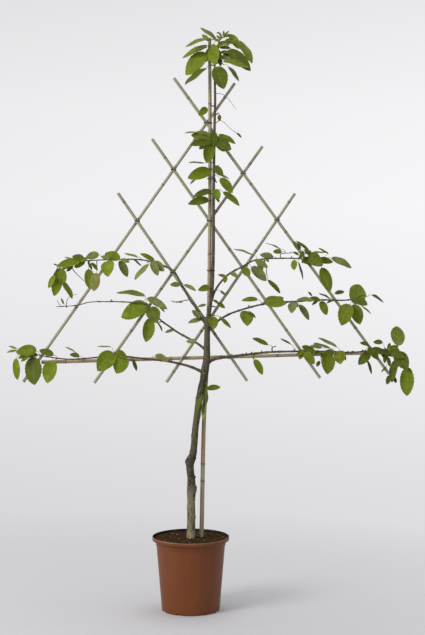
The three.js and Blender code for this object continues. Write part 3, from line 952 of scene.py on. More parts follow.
@dataclass(frozen=True)
class Compost:
    """The compost in the pot: a crumbled surface with loose crumbs, bits of bark and pale grains."""

    top: float = 226
    collar_radius: float = 117.7
    collar_floor: float = 223.2
    wall_radius: float = 104.9
    shoulder_height: float = 204
    foot_radius: float = 86.4
    floor: float = 7.5
    rings: int = 46
    steps: int = 150
    hollows: Pair = (1.1, 1.5)
    edge: Pair = (85, 27)
    sunk: Pair = (0.6, 1.6)
    crumbs: int = 620
    crumb: Lump = Lump((0.9, 3.2), (0.4, 1), (0.35, 0.8))
    grains: int = 64
    grain: Lump = Lump((0.8, 1.9), (0.7, 1), (0.7, 1), 0.3, 2)
    seed: int = 31

    def _surface(self) -> BMesh:
        """Spins the compost's body from its outline, with its top pushed into hollows and humps.

        Returns:
            The body.
        """
        outline = [(self.collar_radius * i / self.rings, self.top) for i in range(self.rings + 1)]
        outline += [(self.collar_radius, self.collar_floor), (self.wall_radius, self.collar_floor),
                    (self.wall_radius, self.shoulder_height), (self.foot_radius, self.floor), (0, self.floor)]
        work = spin_outline(outline, self.steps)
        for vert in work.verts:
            if vert.co.z > (self.top - 0.5) * MM:
                vert.co.z += self.hump(vert.co)
        return work

    def hump(self, spot: Vector) -> float:
        """Finds how far the surface rises at a point, in metres.

        Args:
            spot: the point.

        Returns:
            The rise, less towards the wall.
        """
        broad, fine = self.hollows
        rise = broad * roughness_of(spot, Vector((28, 28, 0)), 2)
        rise += fine * roughness_of(spot, Vector((150, 150, 0)), 4)
        start, width = self.edge
        edge = min(1.0, max(0.0, (spot.xy.length / MM - start) / width))
        all_over, at_edge = self.sunk
        return (rise * (1 - 0.7 * edge) - all_over - at_edge * edge) * MM

    def _add_lump(self, work: BMesh, draws: Draws, lump: Lump, finish: int = 0) -> None:
        """Drops one lump on a random spot of the surface.

        Args:
            work: the mesh that it goes into.
            draws: the row of numbers.
            lump: its kind.
            finish: index of its material.
        """
        size = draws.between(*lump.lengths) * MM
        shape = Vector((size, size * draws.between(*lump.widths), size * draws.between(*lump.heights)))
        spin = Matrix.Rotation(draws.between(0, math.pi), 3, "Z")
        radius = math.sqrt(draws.draw()) * (self.collar_radius - 4) * MM
        turn = draws.between(0, FULL_TURN)
        spot = Vector((radius * math.cos(turn), radius * math.sin(turn), 0))
        spot.z = self.top * MM + self.hump(spot)
        add_ball(work, spot + Vector((0, 0, lump.lift * size)), shape, spin, lump.detail, finish)

    def build(self) -> None:
        """Makes the compost, its crumbs and its grains."""
        draws = Draws(self.seed)
        work = self._surface()
        for _ in range(self.crumbs):
            self._add_lump(work, draws, self.crumb)
        make_piece("compost", work, [Mottle.COMPOST.value.material()], ["soil"], crease=70)
        kinds = [kind.value.material() for kind in (Mottle.PALE_GRAIN, Mottle.TAN_GRAIN)]
        work = bmesh.new()
        for i in range(self.grains):
            self._add_lump(work, draws, self.grain, i % len(kinds))
        make_piece("compost_grains", work, kinds, crease=70)


@dataclass(frozen=True)
class Arm:
    """A trained arm: its bends in the espalier's plane, and its radii at root, bare limb's end and tip."""

    name: str
    seed: int
    bends: tuple[Pair, ...]
    depth: float
    radii: Triple
    bare: float

    def course(self) -> Course:
        """Lays the arm's centre line, which steps back from the trunk's plane in its inner quarter.

        Returns:
            The centre line.
        """
        start = self.bends[0][0]
        inner = 0.25 * abs(self.bends[-1][0] - start)
        return Course([Vector((x, self.depth * min(1.0, abs(x - start) / inner), z)) for x, z in self.bends])

    def radius(self, distance: float, length: float) -> float:
        """Returns the arm's radius in millimetres at a distance along it."""
        base, middle, tip = self.radii
        return read_table([(0, base), (self.bare, middle), (length, tip)], 0, distance, 1)


@dataclass(frozen=True)
class Spur:
    """A spur on the trunk or leader: a short stem that carries leaves, with its heading in degrees."""

    name: str
    seed: int
    height: float
    heading: float
    length: float
    radii: Pair = (2.2, 1.5)


ARMS = (
    Arm("left_low", 101,
        ((44, 744), (-2, 763), (-64, 777), (-126, 784), (-188, 791), (-225, 795), (-296, 789.5),
         (-374, 784), (-436, 790), (-483, 799), (-520, 812)),
        30, (4.2, 2.7, 1.4), 236),
    Arm("left_middle", 102,
        ((49, 815), (14, 840), (-39, 868), (-64, 885), (-95, 908), (-119, 936), (-134, 955),
         (-165, 960), (-234, 964), (-317, 962), (-352, 953), (-420, 948)),
        30, (3.4, 2.3, 0.9), 208),
    Arm("left_high", 103,
        ((53, 890), (29, 921), (14, 949), (-2, 971), (-32, 1027), (-51, 1058), (-79, 1074),
         (-110, 1086), (-156, 1095), (-218, 1096), (-280, 1094), (-357, 1089), (-412, 1080)),
        22, (3.9, 3.0, 1.1), 112),
    Arm("right_low", 104,
        ((48, 771), (70, 785), (122, 794), (184, 801), (246, 807), (308, 809), (432, 809),
         (495, 806), (556, 811), (612, 812), (650, 806), (674, 786)),
        22, (4.2, 3.5, 1.6), 142),
    Arm("right_middle", 105,
        ((52, 872), (85, 906), (122, 927), (147, 936), (190, 948.5), (234, 958), (292, 963),
         (354, 967), (416, 970), (478, 969), (514, 973)),
        22, (3.8, 2.8, 2.2), 116),
    Arm("right_high", 106,
        ((64, 970), (74, 996), (97, 1030), (122, 1053), (156, 1071), (190, 1090), (209, 1095),
         (261, 1099), (344, 1098), (404, 1092)),
        22, (3.7, 3.2, 1.3), 50),
)

SPURS = (
    Spur("spur_trunk", 201, 692, 15, 26), Spur("spur_fork_left", 202, 915, 170, 20),
    Spur("spur_fork_right", 203, 929, 340, 20), Spur("spur_inner_left", 204, 1005, 165, 17),
    Spur("spur_inner_right", 205, 953, 348, 20), Spur("spur_low_left", 206, 1298, 172, 14),
    Spur("spur_low_right", 207, 1308, 12, 14), Spur("spur_mid_left", 208, 1372, 165, 14),
    Spur("spur_mid_right", 209, 1382, 14, 14), Spur("spur_high_left", 210, 1462, 160, 14),
    Spur("spur_high_right", 211, 1466, 18, 14), Spur("spur_upper_left", 212, 1566, 168, 12),
    Spur("spur_upper_right", 213, 1540, 25, 14), Spur("crown_low_left", 214, 1690, 170, 14),
    Spur("crown_low_right", 215, 1696, 12, 14), Spur("crown_left", 216, 1740, 162, 20),
    Spur("crown_right", 217, 1746, 25, 20), Spur("crown_tip", 218, 1768, 70, 8),
)


@dataclass(frozen=True)
class Knob:
    """A swelling on the trunk: its height and heading, how far it stands out, and how wide it is."""

    height: float
    heading: float
    rise: float
    width: float


@dataclass(frozen=True)
class Trunk:
    """The trunk and leader: one tapering stem from the flat cut on the compost to the topmost shoot."""

    ground: float = 226.3
    rows: tuple[Triple, ...] = (
        (1, 226.3, 13.6), (1, 240.3, 13.2), (1.5, 282, 12.9), (1.5, 345, 12.6), (2, 376, 14.2),
        (1, 415, 11.3), (-2, 455, 12.2), (0, 471, 14.4), (7, 489, 11), (10, 510, 10.5),
        (14.5, 566, 10.2), (22, 628, 10.3), (32, 691, 11), (40, 722, 11.5), (44.5, 753, 12.6),
        (49.5, 785, 10.8), (51, 847, 9.5), (52.5, 890, 8.8), (56, 925, 7.2), (63, 971, 5.7),
        (67, 1010, 5.3), (70.5, 1126, 5), (71, 1280, 4.7), (74, 1494, 4.1), (76, 1586, 3.7),
        (75, 1692, 3), (79, 1734, 2.2), (90, 1768, 1.7),
    )
    knobs: tuple[Knob, ...] = (
        Knob(387, -20, 4.2, 4.5), Knob(418, 5, 4.6, 3.6), Knob(378, -5, 2.6, 9), Knob(404, 30, 1.8, 8),
        Knob(466, 186, 3.4, 8), Knob(476, -10, 2, 5), Knob(498, 185, 2, 4), Knob(430, -80, 1.6, 8),
        Knob(292, -15, 1.6, 5), Knob(320, 170, 1.3, 6), Knob(548, 190, 1.6, 7), Knob(612, -20, 1.8, 8),
        Knob(664, 200, 1.8, 8), Knob(715, 100, 2, 9), Knob(752, -90, 2, 10), Knob(800, -70, 1.6, 8),
    )
    knob_turn: float = 40
    flute: float = 0.5
    scale: float = 0.28
    flare: float = 0.5
    flare_height: float = 7
    stout: float = 9
    ring_step: float = 3.0
    sides: int = 28

    def centre(self, height: float) -> float:
        """Returns how far right the centre line is at a height, in millimetres."""
        return read_table(self.rows, 1, height, 0)

    def surface(self, spot: Vector, outward: Vector) -> float:
        """Finds the bark's relief at a point of the trunk, in metres.

        Args:
            spot: the point.
            outward: the way out of the wood there.

        Returns:
            How far the bark stands out.
        """
        height = spot.z / MM
        heading = math.degrees(math.atan2(outward.y, outward.x))
        rise = 0.0
        for knob in self.knobs:
            away = abs((heading - knob.heading + 180) % 360 - 180) / self.knob_turn
            rise += knob.rise * math.exp(-((height - knob.height) / knob.width) ** 2 - away**2)
        girth = read_table(self.rows, 1, height, 2)
        flutes = self.flute * roughness_of(spot, Vector((140, 140, 22)))
        scales = self.scale * roughness_of(spot, Vector((420, 420, 300)))
        uneven = 0.5 + roughness_of(spot, Vector((90, 90, 0)), 1)
        flare = self.flare * math.exp(-(height - self.ground) / self.flare_height) * uneven
        return (rise + (flutes + scales) * min(1.0, girth / self.stout) + flare) * MM

    def add_to(self, work: BMesh) -> None:
        """Adds the trunk's limb.

        Args:
            work: the mesh that it goes into.
        """
        course = Course([Vector((x, 0, z)) for x, z, _ in self.rows])
        count = round((self.rows[-1][1] - self.ground) / self.ring_step)
        centres, radii = [], []
        for i in range(count + 1):
            distance = course.length * i / count
            spot = course.at(distance)
            centres.append(spot * MM)
            radii.append(read_table(self.rows, 1, spot.z, 2) * MM)
        add_limb(work, centres, radii, self.sides, self.surface)


@dataclass(frozen=True)
class LeafShape:
    """A sweet cherry leaf in lengths of its blade: broad ovate, short-tipped, its margin finely toothed."""

    half_width: float = 0.3
    half_thickness: float = 0.0028
    rows: int = 10
    columns: int = 4
    tooth: float = 0.012
    droop: float = 0.3
    belly: float = 0.9
    roundness: float = 0.54
    tip: float = 14
    least_width: float = 0.004

    def margin(self, share: float) -> float:
        """Returns the blade's half width at a share of its length."""
        body = math.sin(math.pi * share**self.belly) ** self.roundness if 0 < share < 1 else 0.0
        return self.half_width * body * (1 - 0.5 * share**self.tip)

    def blade(self) -> Mesh:
        """Makes one flat blade, a thin closed mesh with its own UV map, its underside in a second finish.

        Returns:
            The blade.
        """
        work = bmesh.new()
        sheet = bmesh.ops.create_grid(work, x_segments=self.columns, y_segments=self.rows, size=1.0)["verts"]
        for vert in sheet:
            even = (vert.co.y + 1) / 2
            share = lerp(even, 0.5 - 0.5 * math.cos(math.pi * even), 0.5)
            vert.co = Vector((vert.co.x * max(self.margin(share), self.least_width), share, 0))
        bmesh.ops.remove_doubles(work, verts=sheet, dist=0.003)
        rim = [edge for edge in work.edges if edge.is_boundary and edge.calc_length() > 0.05]
        teeth = bmesh.ops.subdivide_edges(work, edges=rim, cuts=1)["geom_inner"]
        for vert in (item for item in teeth if isinstance(item, BMVert)):
            vert.co.x *= 1 - self.tooth / max(abs(vert.co.x), 0.1)
        for vert in work.verts:
            vert.co.z = self.half_thickness
        bmesh.ops.solidify(work, geom=work.faces[:], thickness=2 * self.half_thickness)
        bmesh.ops.recalc_face_normals(work, faces=work.faces)
        layer = work.loops.layers.uv.verify()
        for face in work.faces:
            face.material_index = 1 if face.normal.z < -0.5 else 0
            for loop in face.loops:
                loop[layer].uv = (0.5 + loop.vert.co.x, loop.vert.co.y)
        mesh = bpy.data.meshes.new("leaf_blade")
        work.to_mesh(mesh)
        work.free()
        return mesh

    def fullness(self, width: float, length: float) -> float:
        """Returns how wide a blade looks beside a flat one of its length."""
        return width / (2 * self.half_width * length)


@dataclass(frozen=True)
class Leaf:
    """One leaf: its root on a limb, its blade's base, direction and face, and how the blade bends."""

    WAVES = 8
    STALK_ARCH, STALK_BOW = 0.16, 0.08
    STALK_START, STALK_END = 0.6, 0.05

    root: Vector
    base: Vector
    direction: Vector
    face: Vector
    length: float
    breadth: float
    fold: float
    wave: float
    phase: float
    droop: float

    @property
    def sag(self) -> Vector:
        """The way down, square to the leaf's direction."""
        return DOWN + self.direction * self.direction.z

    @property
    def up(self) -> Vector:
        """The way that the upper face looks."""
        return (self.face - self.direction * self.face.dot(self.direction)).normalized()

    def spots(self, flat: Sequence[Vector], half_width: float) -> list[Vector]:
        """Finds where the points of the flat blade lie on this leaf, in metres.

        Args:
            flat: the flat blade's points.
            half_width: its half width.

        Returns:
            The points, in the same order.
        """
        up, sag = self.up, self.sag
        across = self.direction.cross(up)
        found = []
        for co in flat:
            edge = min(1.0, abs(co.x) / half_width)
            wave = self.wave * math.sin(self.phase + self.WAVES * co.y) * edge**2
            lift = self.fold * abs(co.x) + wave + co.z
            point = self.direction * co.y + sag * (self.droop * co.y**2)
            point += across * (co.x * self.breadth) + up * lift
            found.append((self.base + point * self.length) * MM)
        return found

    def stalk(self) -> list[Vector]:
        """Lays the stalk's centre line from inside the limb into the blade, in metres.

        Returns:
            The centre line.
        """
        reach = (self.base - self.root).length
        lift = Vector((0, 0, self.STALK_ARCH * reach)) + self.up * (self.STALK_BOW * reach)
        inner = self.root - (self.base - self.root).normalized() * self.STALK_START
        end = self.STALK_END
        into = self.base + (self.direction * end + self.sag * (self.droop * end**2)) * self.length
        middle = [self.root.lerp(self.base, share) + lift * (4 * share * (1 - share))
                  for share in (0.33, 0.66)]
        return [spot * MM for spot in (inner, *middle, self.base, into)]


@dataclass(frozen=True)
class Twig:
    """A short woody shoot: its course in millimetres and its radii at root and tip."""

    points: tuple[Vector, ...]
    radii: Pair
    seed: int


# A leaf is its blade's base and tip, right and up, and its seen width; a spray is its tint and its leaves.
LeafRow = tuple[float, float, float, float, float]
Spray = tuple[Tint | LeafRow, ...]
BRIGHT, LIVELY, MID, DARK, DULL, WITHERED = Tint


# The leaves of each mass, spray by spray: readings off the photo by hand, worked out in millimetres by a
# scratch script. Some rows and tints were changed later, where the render differed from the photo.
SPRAYS: dict[str, tuple[Spray, ...]] = {
    "left_low": (
        (MID, (-480, 810, -545, 807, 37)), (BRIGHT, (-544, 788, -541, 719, 23)),
        (DULL, (-542, 811, -575, 805, 8), (-542, 816, -570, 824, 8)),
        (MID, (-477, 796, -539, 788, 20), (-502, 794, -527, 779, 12)), (DARK, (-495, 791, -485, 706, 54)),
        (LIVELY, (-431, 779, -446, 711, 45)),
        (DARK, (-427, 797, -473, 813, 23), (-346, 793, -377, 800, 16), (-182, 782, -169, 747, 12)),
        (DULL, (-361, 807, -395, 822, 6), (-249, 821, -295, 821, 5)),
        (LIVELY, (-239, 804, -286, 755, 54), (-204, 793, -230, 744, 51)), (MID, (-233, 808, -197, 785, 23)),
        (WITHERED, (-111, 796, -68, 779, 20)),
    ),
    "left_middle": (
        (MID, (-142, 980, -235, 989, 17)), (DULL, (-136, 975, -72, 941, 25), (-96, 946, -80, 932, 6)),
        (LIVELY, (-133, 950, -217, 915, 54)), (DARK, (-127, 947, -103, 902, 44)),
        (BRIGHT, (-124, 913, -139, 840, 39)),
        (DULL, (-105, 904, -88, 872, 6), (-52, 877, -80, 869, 10), (-396, 955, -405, 975, 6)),
        (DULL, (17, 840, -14, 842, 17)),
    ),
    "left_high": (
        (BRIGHT, (-405, 1069, -423, 982, 37)),
        (MID, (-318, 1100, -343, 1088, 12), (-402, 1069, -392, 1019, 29), (-399, 1029, -366, 974, 17)),
        (BRIGHT, (-420, 1047, -440, 1007, 17)),
        (LIVELY, (-343, 1089, -412, 1075, 26), (-328, 1089, -362, 1071, 22)),
        (MID, (-359, 1085, -399, 1066, 19)),
        (DARK, (-331, 1094, -368, 1106, 22), (-365, 1075, -385, 1058, 12), (-412, 1077, -426, 1082, 5)),
        (DULL, (-284, 1110, -325, 1102, 25), (-371, 1097, -393, 1103, 5)),
        (DARK, (-318, 1088, -305, 1063, 9), (-309, 1085, -288, 1061, 11)),
        (MID, (-219, 1096, -267, 1114, 31)), (DULL, (-250, 1097, -278, 1105, 14)),
        (LIVELY, (-256, 1091, -252, 1044, 42)),
        (DULL, (-222, 1091, -196, 1041, 26), (-216, 1094, -188, 1088, 14)),
        (WITHERED, (-291, 1055, -299, 998, 33)), (BRIGHT, (-317, 1066, -313, 1004, 33)),
        (DULL, (-163, 1102, -207, 1114, 8), (-129, 1082, -172, 1033, 15)),
        (DARK, (-179, 1096, -152, 1074, 6)), (MID, (-112, 1091, -157, 1114, 15)),
        (DULL, (-123, 1088, -100, 1046, 25)), (DULL, (-117, 1088, -81, 1060, 26)),
        (DULL, (-21, 1018, 17, 999, 12)), (MID, (-33, 1015, -64, 1018, 17), (-24, 965, -39, 964, 6)),
    ),
    "spur_inner_left": (
        (MID, (60, 1008, 23, 1003, 22)), (DULL, (48, 955, 22, 949, 9)),
    ),
    "spur_fork_left": ((DULL, (29, 915, 5, 940, 17), (35, 910, -8, 900, 15)),),
    "spur_fork_right": (
        (MID, (68, 920, 71, 881, 31)), (MID, (91, 915, 125, 884, 12)),
    ),
    "spur_inner_right": (
        (DARK, (71, 971, 88, 959, 9)), (MID, (82, 962, 107, 946, 14), (91, 1000, 110, 983, 8)),
    ),
    "spur_trunk": (
        (MID, (51, 694, 93, 699, 19)), (LIVELY, (49, 707, 48, 647, 9)), (DARK, (35, 675, 21, 625, 12)),
        (DULL, (43, 663, 42, 594, 15)),
    ),
    "right_low": (
        (MID, (242, 829, 191, 851, 14), (350, 809, 338, 786, 19)), (LIVELY, (197, 784, 224, 737, 23)),
        (WITHERED, (200, 800, 194, 786, 9)), (DARK, (312, 832, 277, 851, 6), (476, 807, 482, 782, 9)),
        (MID, (353, 807, 383, 773, 29), (375, 811, 347, 825, 19)),
        (DULL, (409, 820, 370, 826, 12), (437, 818, 378, 837, 7), (403, 779, 392, 762, 12)),
        (DULL, (456, 822, 396, 851, 10)), (MID, (428, 804, 422, 742, 45)),
        (MID, (447, 809, 403, 792, 22), (390, 811, 350, 798, 19), (356, 812, 328, 798, 16)),
        (MID, (461, 811, 465, 773, 40)), (DARK, (409, 807, 372, 803, 9), (384, 814, 350, 820, 16)),
        (DARK, (559, 801, 520, 770, 31)),
        (DARK, (549, 782, 562, 739, 9), (555, 829, 527, 837, 13), (597, 837, 568, 839, 16)),
        (DARK, (549, 820, 584, 786, 25), (565, 814, 599, 815, 12)), (DARK, (615, 804, 571, 814, 16)),
        (MID, (647, 826, 653, 881, 45)), (LIVELY, (676, 762, 673, 671, 45)),
        (DARK, (616, 806, 665, 793, 29), (593, 811, 630, 795, 19)), (DARK, (637, 804, 673, 757, 45)),
        (DARK, (637, 782, 625, 714, 25), (625, 735, 611, 706, 17), (629, 732, 640, 712, 12)),
        (MID, (621, 811, 647, 826, 19), (615, 814, 621, 836, 12), (615, 815, 587, 801, 16),
            (621, 811, 652, 814, 19)),
        (DARK, (609, 804, 603, 773, 14), (615, 792, 620, 762, 12), (609, 764, 592, 746, 6),
            (593, 807, 609, 786, 14)),
    ),
    "right_middle": (
        (MID, (209, 970, 158, 967, 16)), (MID, (172, 935, 175, 892, 42)), (DARK, (183, 935, 202, 914, 6)),
        (MID, (228, 963, 297, 962, 37)), (MID, (259, 968, 290, 976, 16)),
        (DULL, (318, 963, 312, 931, 28), (384, 968, 329, 971, 14)),
        (DULL, (337, 955, 368, 907, 20), (320, 963, 335, 948, 12)),
        (DARK, (402, 968, 368, 976, 16), (396, 967, 377, 954, 9), (377, 982, 365, 996, 7)),
        (DARK, (433, 974, 397, 991, 6), (443, 970, 422, 960, 8), (447, 990, 478, 996, 14)),
        (BRIGHT, (402, 965, 424, 923, 26)), (LIVELY, (510, 956, 534, 1013, 56)),
        (DARK, (508, 971, 548, 957, 26)), (MID, (496, 956, 465, 893, 48)), (MID, (505, 956, 525, 895, 39)),
        (MID, (530, 951, 561, 926, 5)), (DARK, (564, 984, 603, 960, 11)),
    ),
    "right_high": (
        (MID, (113, 1040, 85, 1049, 11), (110, 1043, 105, 1024, 14)), (DULL, (122, 1054, 149, 1040, 15)),
        (MID, (163, 1069, 183, 1043, 25)), (DULL, (194, 1110, 132, 1128, 6)),
        (DULL, (188, 1072, 236, 1029, 31), (200, 1091, 240, 1071, 20)), (MID, (206, 1089, 225, 1063, 16)),
        (DARK, (240, 1032, 278, 990, 14)), (DULL, (256, 1103, 215, 1110, 19)),
        (DARK, (281, 1117, 256, 1122, 17), (228, 1103, 243, 1088, 9)), (DULL, (280, 1127, 231, 1147, 5)),
        (BRIGHT, (321, 1094, 321, 1063, 21)), (DULL, (333, 1088, 349, 1032, 7), (336, 1125, 316, 1154, 14)),
        (DARK, (370, 1119, 327, 1153, 9), (343, 1096, 368, 1082, 16)),
        (MID, (346, 1123, 350, 1103, 9), (355, 1113, 374, 1123, 9), (318, 1119, 336, 1108, 8)),
        (DARK, (364, 1105, 405, 1080, 40), (349, 1122, 336, 1096, 12), (371, 1100, 343, 1086, 16)),
        (DARK, (349, 1103, 372, 1074, 14), (361, 1119, 380, 1100, 16), (339, 1128, 330, 1147, 9)),
        (DULL, (374, 1117, 417, 1117, 7)), (MID, (395, 1091, 442, 1088, 23), (352, 1128, 364, 1113, 9)),
        (DARK, (428, 1113, 395, 1131, 6)), (DULL, (436, 1100, 500, 1069, 22)),
        (MID, (405, 1071, 432, 996, 36)),
    ),
    "spur_upper_left": ((LIVELY, (54, 1558, 25, 1538, 23)),),
    "spur_upper_right": (
        (DARK, (90, 1522, 89, 1542, 12)), (DARK, (142, 1485, 157, 1470, 7)),
    ),
    "spur_high_left": (
        (MID, (66, 1468, 2, 1480, 32)), (DULL, (17, 1486, -20, 1485, 6)), (MID, (63, 1457, 50, 1392, 37)),
        (DARK, (66, 1461, 26, 1436, 25), (66, 1456, -1, 1447, 23)),
    ),
    "spur_high_right": (
        (DARK, (70, 1464, 126, 1433, 37), (71, 1488, 73, 1442, 26)), (MID, (86, 1479, 139, 1451, 17)),
        (DARK, (73, 1457, 106, 1427, 22)),
    ),
    "spur_mid_left": (
        (DULL, (45, 1392, -6, 1392, 5), (16, 1343, -1, 1327, 7)), (LIVELY, (63, 1364, -9, 1347, 39)),
    ),
    "spur_mid_right": (
        (DARK, (70, 1381, 102, 1353, 23), (66, 1350, 82, 1332, 6)), (DULL, (82, 1358, 119, 1344, 5)),
        (MID, (91, 1346, 130, 1301, 28)),
    ),
    "spur_low_left": (
        (DARK, (66, 1307, 9, 1289, 20)), (MID, (57, 1278, -8, 1267, 26)),
    ),
    "spur_low_right": (
        (LIVELY, (73, 1312, 88, 1280, 25)), (DARK, (76, 1289, 90, 1272, 9)),
        (MID, (100, 1304, 151, 1261, 19)),
    ),
    "crown_left": (
        (DULL, (83, 1767, 30, 1805, 12)), (MID, (51, 1770, -15, 1744, 11), (53, 1750, -25, 1714, 17)),
        (BRIGHT, (51, 1726, -15, 1662, 49)), (DULL, (57, 1765, 36, 1785, 14), (51, 1744, 17, 1739, 9)),
        (LIVELY, (66, 1747, 47, 1701, 22)), (BRIGHT, (70, 1756, 74, 1692, 37)),
    ),
    "crown_low_left": ((DARK, (50, 1682, -16, 1628, 14)),),
    "crown_low_right": (
        (DARK, (77, 1686, 103, 1616, 48)), (DULL, (116, 1686, 149, 1641, 12)),
    ),
    "crown_right": (
        (DARK, (115, 1738, 185, 1673, 37)), (MID, (100, 1704, 180, 1677, 15)),
        (MID, (145, 1767, 188, 1692, 23)), (BRIGHT, (119, 1785, 151, 1741, 25)),
        (MID, (88, 1759, 131, 1756, 11), (91, 1744, 125, 1745, 12)),
        (DULL, (91, 1729, 128, 1732, 11), (88, 1717, 131, 1706, 15)), (DARK, (82, 1744, 94, 1689, 19)),
        (LIVELY, (97, 1756, 79, 1738, 12)), (DARK, (100, 1726, 146, 1698, 19)),
    ),
    "crown_tip": (
        (MID, (94, 1768, 80, 1783, 8), (103, 1777, 102, 1796, 7), (97, 1756, 79, 1749, 9)),
        (DULL, (97, 1774, 85, 1792, 6), (109, 1777, 122, 1788, 8), (94, 1785, 80, 1789, 6),
            (106, 1783, 119, 1796, 6)),
        (LIVELY, (103, 1762, 125, 1773, 9), (91, 1762, 70, 1770, 9), (103, 1774, 111, 1789, 6),
            (103, 1756, 120, 1750, 9)),
    ),
}


@dataclass(frozen=True)
class Shoot:
    """A finer shoot of a mass: its course, right and up, from the limb outward, and its root's radius."""

    mass: str
    line: tuple[Pair, ...]
    radius: float


SHOOTS = (
    Shoot("left_high", ((-374, 1075), (-365, 1060), (-353, 1047), (-331, 1029)), 1.5),
    Shoot("left_middle", ((-388, 954), (-382, 969), (-369, 982), (-354, 988)), 1.1),
    Shoot("left_middle", ((-404, 950), (-413, 960), (-416, 969)), 1.0),
    Shoot("left_high", ((-11, 964), (-33, 967), (-45, 964), (-61, 968)), 1.2),
    Shoot("spur_upper_left", ((79, 1606), (97, 1604), (112, 1592), (140, 1558)), 0.8),
    Shoot("spur_upper_right", ((76, 1512), (91, 1525), (122, 1500), (140, 1485)), 0.8),
    Shoot("right_low", ((253, 811), (253, 820), (264, 825)), 2.2),
    Shoot("right_high", ((281, 1097), (280, 1113), (308, 1119), (364, 1119)), 1.3),
)


@dataclass(frozen=True)
class Knot:
    """An old knot on a limb: its mass, its place, right and up, and its size."""

    mass: str
    x: float
    z: float
    size: float


KNOTS = (
    Knot("right_low", 421, 812, 6.5), Knot("right_low", 436, 809, 5.5), Knot("left_middle", -128, 952, 8),
    Knot("left_high", -42, 964, 4), Knot("left_high", -51, 967, 3.5), Knot("left_low", -352, 791, 5),
    Knot("right_middle", 338, 966, 4.5), Knot("right_high", 285, 1098, 5), Knot("right_low", 262, 811, 6),
    Knot("left_high", -225, 1097, 5), Knot("right_middle", 195, 952, 4.5), Knot("left_low", -182, 793, 4.5),
    Knot("right_low", 488, 807, 7), Knot("right_low", 503, 807, 8),
)


